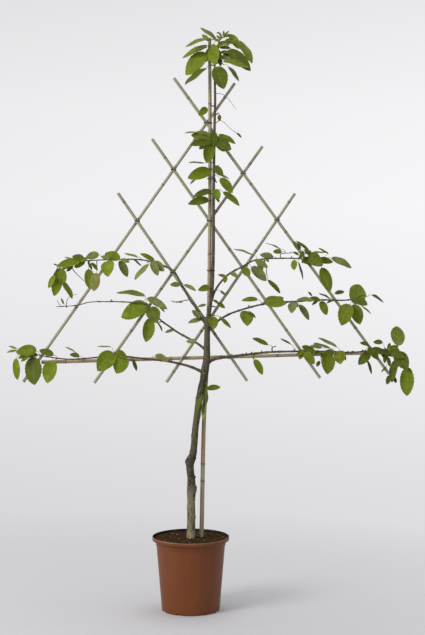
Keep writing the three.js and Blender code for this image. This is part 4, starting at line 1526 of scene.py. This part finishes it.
@dataclass
class GrowthRule:
    """How a leaf grows from its limb: it leans to front or back by chance, clear of its neighbours."""

    shape: LeafShape
    front: Triple = (68, -5000, 1254)
    lean: float = 42
    offset: float = 16
    offset_growth: float = 0.6
    tries: int = 14
    aimings: int = 12
    stalk_wish: float = 13
    stalk_reach: float = 26
    stalk_left: float = 16
    stalk_end: float = 0.14
    wood_weight: int = 8
    droops: Pair = (0.6, 1.2)
    folds: Pair = (0.03, 0.28)
    waves: Pair = (0.008, 0.028)
    depths: Pair = (-1, 0.55)
    sway: Pair = (-6, 4)
    arch: float = 0.1
    breadths: Pair = (0.62, 1.3)

    def __post_init__(self) -> None:
        """Makes the flat blade that every leaf is bent from, and an empty record of what has grown."""
        self.blade = self.shape.blade()
        self._flat = [vert.co.copy() for vert in self.blade.vertices]
        self._faces = [tuple(face.vertices) for face in self.blade.polygons]
        self._outer = [face for face in self._faces if all(self._flat[i].y > self.stalk_end for i in face)]
        self._fixed: BVHTree | None = None
        self._grown: list[tuple[BVHTree, Vector, Vector]] = []

    def keep_clear_of(self, pieces: Sequence[Object]) -> None:
        """Notes the wood and canes that no blade may pass through.

        Args:
            pieces: the wood and canes.
        """
        spots, faces = [], []
        for piece in pieces:
            start = len(spots)
            spots += [vert.co for vert in piece.data.vertices]
            faces += [[start + i for i in face.vertices] for face in piece.data.polygons]
        self._fixed = BVHTree.FromPolygons(spots, faces)

    def spots(self, leaf: Leaf) -> list[Vector]:
        """Returns where a leaf's points lie, in metres."""
        return leaf.spots(self._flat, self.shape.half_width)

    def _aimed(self, root: Vector, base: Vector, goal: Pair, width: float, lean: float,
               draws: Draws) -> Leaf:
        """Returns a leaf whose tip is seen at its goal from the front, whatever its lean and droop.

        Args:
            root: where its stalk leaves the limb.
            base: the blade's base.
            goal: the tip's place, right and up.
            width: how wide the blade looks from the front.
            lean: degrees that it leans to the back.
            draws: the leaf's row of numbers, for its bends.

        Returns:
            The leaf.
        """
        aim = Vector((goal[0] - base.x, 0, goal[1] - base.z))
        slender = min(1.0, self.shape.fullness(width, aim.length))
        climb = max(0.0, aim.z) / aim.length
        droop = self.shape.droop * draws.between(*self.droops) * lerp(0.35, 1.0, slender) * (1 - 0.8 * climb)
        back = math.radians(lean)
        wanted = aim.copy()
        for _ in range(self.aimings):
            direction = (aim.normalized() * math.cos(back) + Vector((0, math.sin(back), 0))).normalized()
            length = aim.length / max(math.cos(back), 0.4)
            tip = (direction + (DOWN + direction * direction.z) * droop) * length
            aim += (wanted - Vector((tip.x, 0, tip.z))) * 0.8
        seen = self.shape.fullness(width, length)
        breadth = min(self.breadths[1], max(self.breadths[0], 1.03 * seen))
        roll = math.acos(min(1.0, max(0.1, seen / breadth)))
        toward = (Vector(self.front) - base).normalized()
        front = (toward - direction * direction.dot(toward)).normalized()
        side = direction.cross(front)
        sign = math.copysign(1, side.z) if abs(side.z) > 0.3 else math.copysign(1, draws.draw() - 0.5)
        face = front * math.cos(roll) + side * (sign * math.sin(roll))
        fold = 0.05 + draws.between(*self.folds) * min(1.0, seen)
        wave, phase = draws.between(*self.waves), draws.between(0, 6)
        return Leaf(root, base, direction, face, length, breadth, fold, wave, phase, droop)

    def _clashes(self, spots: Sequence[Vector]) -> int:
        """Counts how much a blade cuts into wood, canes and earlier blades.

        Args:
            spots: where the blade's points lie.

        Returns:
            The faces cut, those of wood and canes counted by their weight.
        """
        outer = BVHTree.FromPolygons(spots, self._outer)
        count = self.wood_weight * len(self._fixed.overlap(outer)) if self._fixed else 0
        low, high = corners(spots)
        for tree, other_low, other_high in self._grown:
            if all(low[k] < other_high[k] and high[k] > other_low[k] for k in range(3)):
                count += len(tree.overlap(outer))
        return count

    def leaf(self, row: LeafRow, stems: Sequence[Sequence[Vector]], draws: Draws) -> tuple[Leaf, list]:
        """Grows one leaf from the nearest limb of its mass.

        Args:
            row: the blade's base and tip, right and up, and its seen width.
            stems: the mass's limbs as rows of points.
            draws: the leaf's row of numbers.

        Returns:
            The leaf, and the points of the twig that carries it where the limb is out of its stalk's reach.
        """
        x, z, tip_x, tip_z, width = row
        aim = Vector((tip_x - x, 0, tip_z - z)).normalized()
        wish = Vector((x, 0, z)) - aim * self.stalk_wish
        root = min((spot for stem in stems for spot in stem),
                   key=lambda spot: (spot.xz - wish.xz).length_squared)
        reach = Vector((x - root.x, 0, z - root.z))
        carrier = []
        if reach.length > self.stalk_reach:
            sway = Vector((0, draws.between(*self.sway), 0))
            end = root + reach * (1 - self.stalk_left / reach.length) + sway
            bend = Vector((0, 0, self.arch * reach.length))
            carrier = [root, root.lerp(end, 0.35) + bend, root.lerp(end, 0.7) + bend, end]
            root = end
        best, fewest = None, math.inf
        broad = self.shape.fullness(width, math.hypot(tip_x - x, tip_z - z))
        steep = math.degrees(math.acos(1 / broad)) if broad > 1 else 0.0
        outward = 1 if tip_z > z else -1
        for i in range(self.tries):
            chance = draws.between(-1, 1)
            if draws.draw() < broad:
                chance = outward * abs(chance)
            lean = math.copysign(steep, chance) + self.lean * (1 - 0.6 * min(1.0, broad)) * chance
            depth = self.offset + self.offset_growth * i
            base = Vector((x, root.y + draws.between(*self.depths) * depth, z))
            leaf = self._aimed(root, base, (tip_x, tip_z), width, lean, draws)
            clashes = self._clashes(self.spots(leaf))
            if clashes < fewest:
                best, fewest = leaf, clashes
            if not clashes:
                break
        spots = self.spots(best)
        self._grown.append((BVHTree.FromPolygons(spots, self._outer), *corners(spots)))
        if fewest:
            LOG.info("a leaf of %s still cuts its neighbours by %d faces", [round(v) for v in row], fewest)
        return best, carrier


@dataclass
class Espalier:
    """The tree: trunk, arms, spurs and twigs in their bark, with stalks, buds and leaves by tint."""

    trunk: Trunk = Trunk()
    arm_step: float = 4
    arm_sides: int = 12
    scar_gap: float = 38
    scar_width: float = 3.5
    collar: float = 0.9
    collar_length: float = 14
    spur_reach: int = 40
    spur_lean: float = -0.15
    shoot_drift: Pair = (-0.35, 0.1)
    shoot_taper: float = 0.55
    tip_bud: float = 1.9
    bud_gaps: Pair = (16, 34)
    bud_sizes: Pair = (1.3, 1.9)
    bud_shape: Triple = (0.6, 0.6, 1.1)
    knuckles: float = 0.35
    knuckle_lengths: Pair = (4, 10)
    knuckle_sizes: Pair = (1.6, 2.2)
    knuckle_radii: Pair = (1.9, 1.5)
    carrier_radii: Pair = (1.5, 1.1)
    leaf_bud: float = 1.5
    twig_step: float = 3
    twig_sides: int = 7
    stalk_radii: tuple[float, ...] = (1.25, 1, 0.95, 0.95, 0.55)
    stalk_sides: int = 5
    long_leaf: float = 40

    def __post_init__(self) -> None:
        """Starts with an empty tree."""
        self.rule = GrowthRule(LeafShape())
        self.twigs: list[Twig] = []
        self.leaves: list[tuple[Leaf, Tint]] = []
        self.buds: list[tuple[Vector, Vector, float]] = []
        self._arms = {arm.name: arm.course() for arm in ARMS}
        self._stems: dict[str, list[list[Vector]]] = {}

    def build_bark(self) -> Object:
        """Makes the trunk and the six arms, whole to their tips, in one mesh with the bark's relief.

        Returns:
            The piece.
        """
        work = bmesh.new()
        self.trunk.add_to(work)
        for arm in ARMS:
            course = self._arms[arm.name]
            draws = Draws(arm.seed)
            scars = [(draws.between(4.8, 11.2) + self.scar_gap * k, draws.between(0.4, 1.2))
                     for k in range(1, 18)]
            count = round(course.length / self.arm_step)
            centres, radii = [], []
            for i in range(count + 1):
                distance = course.length * i / count
                radius = arm.radius(distance, course.length)
                radius *= 1 + self.collar * math.exp(-distance / self.collar_length)
                radius += sum(rise * bell(distance - place, self.scar_width) for place, rise in scars)
                centres.append(course.at(distance) * MM)
                radii.append(radius * MM)
            add_limb(work, centres, radii, self.arm_sides, self._arm_relief)
        nodes = ["trunk"] + [f"bough_{arm.name}" for arm in ARMS]
        return make_piece("trunk_and_arms", work, [BarkFinish().material()], nodes, crease=80)

    @staticmethod
    def _arm_relief(spot: Vector, _: Vector) -> float:
        """Returns the bark's relief at a point of an arm, in metres."""
        broad = roughness_of(spot, Vector((110, 110, 110)))
        return (0.35 * broad + 0.2 * roughness_of(spot, Vector((420, 420, 420)))) * MM

    def _lay_out(self) -> None:
        """Lists each mass's limbs as rows of points, and grows the spurs and finer shoots."""
        for name, course in self._arms.items():
            self._stems[name] = [[course.at(distance) for distance in range(0, int(course.length), 3)]]
        top = self.trunk.rows[-1][1]
        for spur in SPURS:
            angle = math.radians(spur.heading)
            root = Vector((self.trunk.centre(spur.height), 0, spur.height))
            heading = Vector((math.cos(angle), self.spur_lean, math.sin(angle))).normalized()
            tip = root + heading * spur.length
            self.twigs.append(Twig((root, tip), spur.radii, spur.seed))
            self.buds.append((tip, tip - root, self.tip_bud))
            low, high = int(spur.height) - self.spur_reach, int(spur.height) + self.spur_reach + 1
            near = [Vector((self.trunk.centre(mark), 0, mark)) for mark in range(low, min(top, high), 4)]
            self._stems[spur.name] = [[root.lerp(tip, share) for share in (0.5, 0.75, 1.0)], near]
        for number, shoot in enumerate(SHOOTS):
            start = self._nearest(shoot.mass, *shoot.line[0])
            seed = SHOOT_SEEDS + number
            draws = Draws(seed)
            drift = draws.between(*self.shoot_drift)
            points = [start]
            for x, z in shoot.line[1:]:
                points.append(Vector((x, points[-1].y + drift * (points[-1].xz - Vector((x, z))).length, z)))
            course = Course(points)
            self._stems[shoot.mass].append([course.at(mark) for mark in range(6, int(course.length) + 1, 3)])
            self.twigs.append(Twig(tuple(points), (shoot.radius, self.shoot_taper * shoot.radius), seed))
            self.buds.append((points[-1], points[-1] - points[-2], 1.3 * shoot.radius))

    def _nearest(self, mass: str, x: float, z: float) -> Vector:
        """Returns the point of a mass's limbs that is nearest to a place, right and up."""
        spots = (spot for stem in self._stems[mass] for spot in stem)
        return min(spots, key=lambda spot: (spot.x - x) ** 2 + (spot.z - z) ** 2)

    def _add_knots(self) -> None:
        """Sets the old knots on their limbs."""
        for knot in KNOTS:
            spot = self._nearest(knot.mass, knot.x, knot.z)
            self.buds.append((spot, Vector((1, -0.3, 0.4)).normalized(), knot.size))

    def _add_arm_buds(self) -> None:
        """Sets small buds and spur knuckles along the arms and the leader, turn about."""
        for arm in ARMS:
            course, draws = self._arms[arm.name], Draws(BUD_SEEDS + arm.seed)
            distance = draws.between(20, 40)
            while distance < course.length - 10:
                along, turn = course.along(distance), draws.between(0, FULL_TURN)
                side = along.orthogonal().normalized()
                side.rotate(Matrix.Rotation(turn, 3, along))
                out = side * (arm.radius(distance, course.length) * 0.9)
                heading = (side + along * 0.9).normalized()
                root = course.at(distance)
                if draws.draw() < self.knuckles:
                    tip = root + out + heading * draws.between(*self.knuckle_lengths)
                    self.twigs.append(Twig((root, tip), self.knuckle_radii, round(distance)))
                    self.buds.append((tip, heading, draws.between(*self.knuckle_sizes)))
                else:
                    self.buds.append((root + out + heading * 1.2, heading, draws.between(*self.bud_sizes)))
                distance += draws.between(*self.bud_gaps)

    def grow(self, fixed: Sequence[Object]) -> None:
        """Grows the twigs and leaves of every mass, clear of the wood and canes given.

        Args:
            fixed: the wood and canes.
        """
        self.rule.keep_clear_of(fixed)
        self._lay_out()
        self._add_knots()
        self._add_arm_buds()
        sprays = [(mass, spray) for mass, group in SPRAYS.items() for spray in group]
        for number, (mass, (tint, *rows)) in enumerate(sprays):
            for seed, row in enumerate(rows, start=100 * number + 1):
                leaf, carrier = self.rule.leaf(row, self._stems[mass], Draws(seed))
                self.leaves.append((leaf, tint))
                self.buds.append((leaf.root, leaf.base - leaf.root, self.leaf_bud))
                if carrier:
                    self.twigs.append(Twig(tuple(carrier), self.carrier_radii, seed))
        LOG.info("grown: %d twigs, %d leaves", len(self.twigs), len(self.leaves))

    def build_twigs(self) -> None:
        """Makes the spurs and twigs with their buds."""
        work = bmesh.new()
        for twig in self.twigs:
            course, draws = Course(twig.points), Draws(twig.seed)
            rows = max(3, round(course.length / self.twig_step))
            bend = Vector([draws.between(-1, 1) for _ in range(3)]) * 0.04 * course.length
            centres, radii = [], []
            for i in range(rows + 1):
                share = i / rows
                centres.append((course.at(course.length * share) + bend * math.sin(math.pi * share)) * MM)
                radii.append(lerp(*twig.radii, share) * (1 + 0.2 * (i % 2)) * MM)
            add_limb(work, centres, radii, self.twig_sides)
        for spot, direction, size in self.buds:
            turn = direction.to_track_quat("Z", "Y").to_matrix()
            add_ball(work, spot * MM, Vector(self.bud_shape) * size * MM, turn)
        nodes = [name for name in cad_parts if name.startswith("foliage_")]
        make_piece("twigs_and_buds", work, [Mottle.TWIG.value.material()], nodes, crease=70)

    def build_stalks(self) -> None:
        """Makes the leaves' stalks."""
        work = bmesh.new()
        for leaf, _ in self.leaves:
            slight = 0.75 if leaf.length > self.long_leaf else 0.5
            add_limb(work, leaf.stalk(), [slight * size * MM for size in self.stalk_radii], self.stalk_sides)
        make_piece("leaf_stalks", work, [Mottle.STALK.value.material()], crease=80)

    def build_leaves(self) -> None:
        """Makes the blades, joined into one piece for each tint."""
        for tint in Tint:
            name, top, under = tint.value
            work = bmesh.new()
            for leaf, given in self.leaves:
                if given is not tint:
                    continue
                start = len(work.verts)
                work.from_mesh(self.rule.blade)
                work.verts.ensure_lookup_table()
                for i, spot in enumerate(self.rule.spots(leaf)):
                    work.verts[start + i].co = spot
            finishes = [LeafFinish(name, top).material(), LeafFinish(f"{name}_under", under, 0.5).material()]
            make_piece(name, work, finishes, crease=50)
        bpy.data.meshes.remove(self.rule.blade)

    def build(self, fixed: Sequence[Object]) -> None:
        """Makes the whole tree, its leaves clear of its own wood and of the frame behind it.

        Args:
            fixed: the frame's pieces.
        """
        bark = self.build_bark()
        self.grow([bark, *fixed])
        self.build_twigs()
        self.build_stalks()
        self.build_leaves()


class CaneKind(Enum):
    """How the canes look: the grey slanting ones, the old upright and the tan level one."""

    GREY = CaneFinish("bamboo_grey", shade(155, 150, 124), shade(105, 97, 72), (2.0, 3.0))
    OLD = CaneFinish("bamboo_old", shade(160, 149, 121), shade(116, 104, 80), (0.45, 0.57))
    TAN = CaneFinish("bamboo_tan", shade(160, 147, 116), shade(122, 108, 82), (0.74, 0.785))


@dataclass(frozen=True)
class Cane:
    """One bamboo cane: its course in millimetres, its radii at the ends, its looks and its joints."""

    name: str
    points: tuple[Triple, ...]
    radii: Pair
    kind: CaneKind
    seed: int
    first_joints: tuple[float, ...] = ()


@dataclass(frozen=True)
class Bamboo:
    """How a cane is made: the spacing of its joints, their ridges, and its cut hollow ends."""

    joint_gap: float = 165
    ridge: float = 0.75
    pinch: float = 0.3
    sides: int = 18
    step: float = 14
    hollow: float = 0.45
    hollow_depth: float = 9
    end_gap: float = 12
    ridge_width: float = 1.7
    pinch_drop: float = 3.4
    pinch_width: float = 1.6
    skin: float = 0.25
    close_marks: tuple[float, ...] = (-5, -2.4, -1.2, 0, 1.2, 2.6, 5)
    plain_from: float = 6

    def _marks(self, length: float, joints: Sequence[float]) -> list[float]:
        """Picks the distances along a cane that get a ring of vertices.

        Args:
            length: the cane's length.
            joints: how far along it its joints are.

        Returns:
            The distances, rising.
        """
        count = round(length / self.step)
        plain = [length * i / count for i in range(count + 1)]
        close = [joint + offset for joint in joints for offset in self.close_marks]
        kept = [mark for mark in plain if all(abs(mark - joint) > self.plain_from for joint in joints)]
        return sorted(set(kept + [mark for mark in close if 0 < mark < length] + [0.0, length]))

    def _add_hollow(self, work: BMesh, end: Vector, inward: Vector) -> None:
        """Opens a cut end: a ring of wood round a short dark bore.

        Args:
            work: the cane's mesh.
            end: the middle of the end.
            inward: the way into the cane.
        """
        work.faces.ensure_lookup_table()
        cap = min((face for face in work.faces if len(face.verts) == self.sides),
                  key=lambda face: (face.calc_center_median() - end).length)
        radius = (cap.verts[0].co - cap.calc_center_median()).length
        bmesh.ops.inset_region(work, faces=[cap], thickness=radius * (1 - self.hollow), use_even_offset=True)
        bore = bmesh.ops.extrude_discrete_faces(work, faces=[cap])["faces"]
        bmesh.ops.translate(work, verts=bore[0].verts[:], vec=inward * self.hollow_depth * MM)

    def build(self, cane: Cane, finish: Material) -> Object:
        """Makes one cane in place of its solid.

        Args:
            cane: the cane.
            finish: its material.

        Returns:
            The piece.
        """
        course = Course([Vector(point) for point in cane.points])
        draws = Draws(cane.seed)
        joints = list(cane.first_joints)
        place = joints[-1] + self.joint_gap if joints else draws.between(0.2, 0.8) * self.joint_gap
        while place < course.length - self.end_gap:
            joints.append(place)
            place += self.joint_gap * draws.between(0.85, 1.15)
        marks = self._marks(course.length, joints)
        centres, radii, rings = [], [], []
        for mark in marks:
            ridge = sum(bell(mark - joint, self.ridge_width) for joint in joints)
            pinch = sum(bell(mark - joint + self.pinch_drop, self.pinch_width) for joint in joints)
            radius = lerp(*cane.radii, mark / course.length) - self.skin
            centres.append(course.at(mark) * MM)
            radii.append((radius + self.ridge * ridge - self.pinch * pinch) * MM)
            rings.append(min(1.0, ridge + 0.6 * pinch))
        work = bmesh.new()
        layer = work.verts.layers.float.new(CANE_RING)
        kept = add_limb(work, centres, radii, self.sides, self._relief)
        for vert in kept:
            row = min(range(len(centres)), key=lambda i: (vert.co - centres[i]).length_squared)
            vert[layer] = rings[row]
        for distance, sign in ((0.0, 1), (course.length, -1)):
            self._add_hollow(work, course.at(distance) * MM, course.along(distance) * sign)
        return make_piece(cane.name.replace("cane", "bamboo"), work, [finish], [cane.name], crease=50)

    @staticmethod
    def _relief(spot: Vector, _: Vector) -> float:
        """Returns the cane's slight unevenness at a point, in metres."""
        return 0.16 * MM * roughness_of(spot, Vector((60, 60, 60)), 2)


@dataclass(frozen=True)
class Lattice:
    """The frame behind the tree: eight canes, layer behind layer, each a small gap from the next."""

    gap: float = 0.3
    radius: float = 5.0
    level_radius: float = 6.0
    upright_depth: float = 20.0
    upright_radii: Pair = (7.2, 5.3)
    upright_reach: float = 6.2
    taper: float = 0.94

    def canes(self) -> list[Cane]:
        """Lays the canes out.

        Returns:
            The canes.
        """
        fall = self.upright_depth + self.upright_reach + self.radius + self.gap
        rise = fall + 2 * self.radius + self.gap
        level = rise + self.radius + self.level_radius + self.gap
        straight = (
            ("rise_1", (-524, 712), (137, 1640), rise), ("rise_2", (-302, 709), (223, 1446), rise),
            ("rise_3", (-76, 711), (324, 1300), rise), ("fall_1", (-51, 1655), (619, 738), fall),
            ("fall_2", (-119, 1468), (404, 725), fall), ("fall_3", (-225, 1301), (176, 716), fall),
            ("level", (-468, 772.5), (592, 803), level),
        )
        canes = []
        for seed, (name, (x0, z0), (x1, z1), depth) in enumerate(straight, start=61):
            thick = self.level_radius if name == "level" else self.radius
            kind = CaneKind.TAN if name == "level" else CaneKind.GREY
            radii = (thick, self.taper * thick)
            canes.append(Cane(f"cane_{name}", ((x0, depth, z0), (x1, depth, z1)), radii, kind, seed))
        line = ((33.5, 226.3), (41.5, 595), (50, 760), (57.5, 1000), (60.3, 1495), (59, 1776))
        points = tuple((x, self.upright_depth, z) for x, z in line)
        canes.append(Cane("cane_upright", points, self.upright_radii, CaneKind.OLD, 71, (177, 231)))
        return canes

    def build(self) -> list[Object]:
        """Makes every cane and returns the pieces."""
        finishes = {kind: kind.value.material() for kind in CaneKind}
        return [Bamboo().build(cane, finishes[cane.kind]) for cane in self.canes()]


@dataclass(frozen=True)
class WireTies:
    """The tying wire at the lattice's crossings: two turns round what it holds and a twisted end."""

    wire: float = 0.8
    turns: int = 2
    spread: float = 3.2
    tail: float = 9
    sides: int = 6
    tail_sides: int = 5
    tail_points: int = 8
    tail_twist: float = 1.4
    tail_size: float = 0.7
    points: int = 40
    squareness: float = 0.55

    def build(self) -> None:
        """Makes each tie in place of its solid loop."""
        finish = Mottle.WIRE.value.material()
        names = sorted(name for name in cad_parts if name.startswith("tie_"))
        for number, name in enumerate(names):
            low, high = (Vector(corner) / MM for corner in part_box(name))
            work = bmesh.new()
            self._add_turns(work, (low + high) / 2, (high - low) / 2, number)
            make_piece(f"wire_{name}", work, [finish], [name], crease=80)

    def _add_turns(self, work: BMesh, middle: Vector, half: Vector, seed: int) -> None:
        """Adds the wire's turns round a crossing and its twisted end in front.

        Args:
            work: the mesh that they go into.
            middle: the middle of what is tied, in millimetres.
            half: the half sizes of the loop round it.
            seed: number of the tie, which sets how its end points.
        """
        draws = Draws(TIE_SEEDS + seed)
        inset = self.wire * 1.2
        width, depth = half.x - inset, half.y - inset
        tilt = half.z - 2 if half.z > 4 else 0.0
        path = []
        for i in range(self.turns * self.points + 1):
            angle = FULL_TURN * i / self.points - math.pi / 2
            x, y = (reach * math.copysign(abs(part) ** self.squareness, part)
                    for reach, part in ((width, math.cos(angle)), (depth, math.sin(angle))))
            rise = self.spread * (i / (self.turns * self.points) - 0.5) + tilt * x / max(width, 1)
            path.append((middle + Vector((x, y, rise))) * MM)
        add_limb(work, path, [self.wire * MM] * len(path), self.sides)
        heading = draws.between(0.2, 2.9)
        front = middle + Vector((0, -depth - self.wire, 0))
        for strand in (0, math.pi):
            twist = []
            for i in range(self.tail_points + 1):
                along = self.tail * i / self.tail_points
                turn = strand + self.tail_twist * i
                side = Vector((math.cos(turn), 0.3 * math.sin(turn), 0)) * (self.tail_size * self.wire)
                out = Vector((math.cos(heading), -0.35, math.sin(heading))) * along
                twist.append((front + out + side) * MM)
            add_limb(work, twist, [self.tail_size * self.wire * MM] * len(twist), self.tail_sides)


@dataclass(frozen=True)
class Studio:
    """A plain pale sweep, soft studio light and the photograph's point of view."""

    camera_place: Triple = (0.068, -5.0, 1.254)
    pitch_down: float = 3.86
    lens: float = 91.73
    film: float = 36.0
    floor_radius: float = 60.0
    floor_fade: Pair = (0.5, 2.2)
    even_light: float = 0.56
    room: tuple[Pair, ...] = (
        (-0.3, 214), (-0.205, 218), (-0.178, 220), (-0.145, 225), (-0.118, 230), (-0.067, 237),
        (0.0, 243), (0.06, 240), (0.126, 230), (0.3, 224),
    )
    room_sides: Pair = (-0.14, 0.14)
    side_light: Pair = (0.965, 1.035)

    def _add_camera(self) -> None:
        """Adds the camera."""
        data = bpy.data.cameras.new("camera")
        data.lens = self.lens
        data.sensor_fit = "AUTO"
        data.sensor_width = self.film
        data.clip_end = 200.0
        camera = add_object("camera", data)
        camera.location = self.camera_place
        camera.rotation_euler = (math.radians(90 - self.pitch_down), 0, 0)
        bpy.context.scene.camera = camera

    def _add_floor(self) -> None:
        """Adds a wide round floor that fades into the pale room."""
        floor = Recipe("studio_floor", roughness=0.9, specular=0.1)
        floor.surface.inputs["Base Color"].default_value = shade(194, 193, 196)
        reach = floor.node("ShaderNodeVectorMath", operation="DISTANCE")
        reach.inputs[1].default_value = (-0.35, -0.5, 0)
        floor.join(floor.place(), reach.inputs[0])
        clear = floor.node("ShaderNodeBsdfTransparent")
        floor.shaders(floor.step(reach.outputs["Value"], *self.floor_fade), floor.surface.outputs[0],
                      clear.outputs[0], "Material Output")
        work = bmesh.new()
        bmesh.ops.create_circle(work, cap_ends=True, segments=96, radius=self.floor_radius)
        plane = add_object("studio_floor", work)
        plane.data.materials.append(floor.material)
        plane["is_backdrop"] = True

    def _add_lamp(self, name: str, place: Triple, aim: Triple, size: float, power: float,
                  tone: Triple) -> None:
        """Adds one soft square lamp that isn't seen itself.

        Args:
            name: its name.
            place: where it stands.
            aim: what it shines on.
            size: its side, in metres.
            power: its power, in watts.
            tone: its colour.
        """
        data = bpy.data.lights.new(name, "AREA")
        data.shape = "SQUARE"
        data.size = size
        data.energy = power
        data.color = tone
        lamp = add_object(name, data)
        lamp.location = place
        lamp.rotation_euler = (Vector(aim) - Vector(place)).to_track_quat("-Z", "Y").to_euler()
        lamp.visible_camera = False

    def _set_room(self) -> None:
        """Sets the pale room: its look behind the plant, brightest at eye level, and its even light."""
        world = bpy.data.worlds.new("studio")
        world.use_nodes = True
        room = Wiring(world.node_tree)
        seen = room.tree.nodes["Background"]
        place = room.split("Generated")
        low, high = self.room[0][0], self.room[-1][0]
        stops = [((rise - low) / (high - low), shade(grey, grey - 1, grey + 1)) for rise, grey in self.room]
        room.join(room.ramp(room.step(place["Z"], low, high), stops), seen.inputs["Color"])
        side = room.step(place["X"], *self.room_sides)
        room.join(room.between(side, *self.side_light), seen.inputs["Strength"])
        light = room.node("ShaderNodeBackground")
        light.inputs["Color"].default_value = (0.98, 0.99, 1.0, 1.0)
        light.inputs["Strength"].default_value = self.even_light
        path = room.node("ShaderNodeLightPath")
        room.shaders(path.outputs["Is Camera Ray"], light.outputs[0], seen.outputs[0], "World Output")
        bpy.context.scene.world = world

    def build(self) -> None:
        """Sets up camera, floor, lamps and room."""
        bpy.context.scene.view_settings.view_transform = "Standard"
        self._add_camera()
        self._add_floor()
        self._add_lamp("key", (-3.4, -2.8, 3.0), (0, 0, 0.8), 2.0, 190, (1.0, 0.985, 0.96))
        self._add_lamp("fill", (3.2, -3.0, 2.0), (0, 0, 0.9), 2.6, 2, (0.96, 0.98, 1.0))
        self._add_lamp("top", (0.2, 0.6, 4.2), (0, 0, 0.8), 2.4, 45, (1.0, 1.0, 1.0))
        self._set_room()


def write_sizes() -> None:
    """Sets the solids' box and the dressed plant's box side by side, and keeps neither."""
    boxes = {"solids": SOLIDS_BOX, "dressed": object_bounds()}
    {name: [list(corner) for corner in box] for name, box in boxes.items()}


def main() -> None:
    """Sets the stage and makes every sub-assembly in turn."""
    logging.basicConfig(level=logging.INFO, format="%(name)s %(message)s")
    Studio().build()
    Pot().build()
    Compost().build()
    canes = Lattice().build()
    WireTies().build()
    Espalier().build(canes)
    write_sizes()


if __name__ == "__main__":
    main()
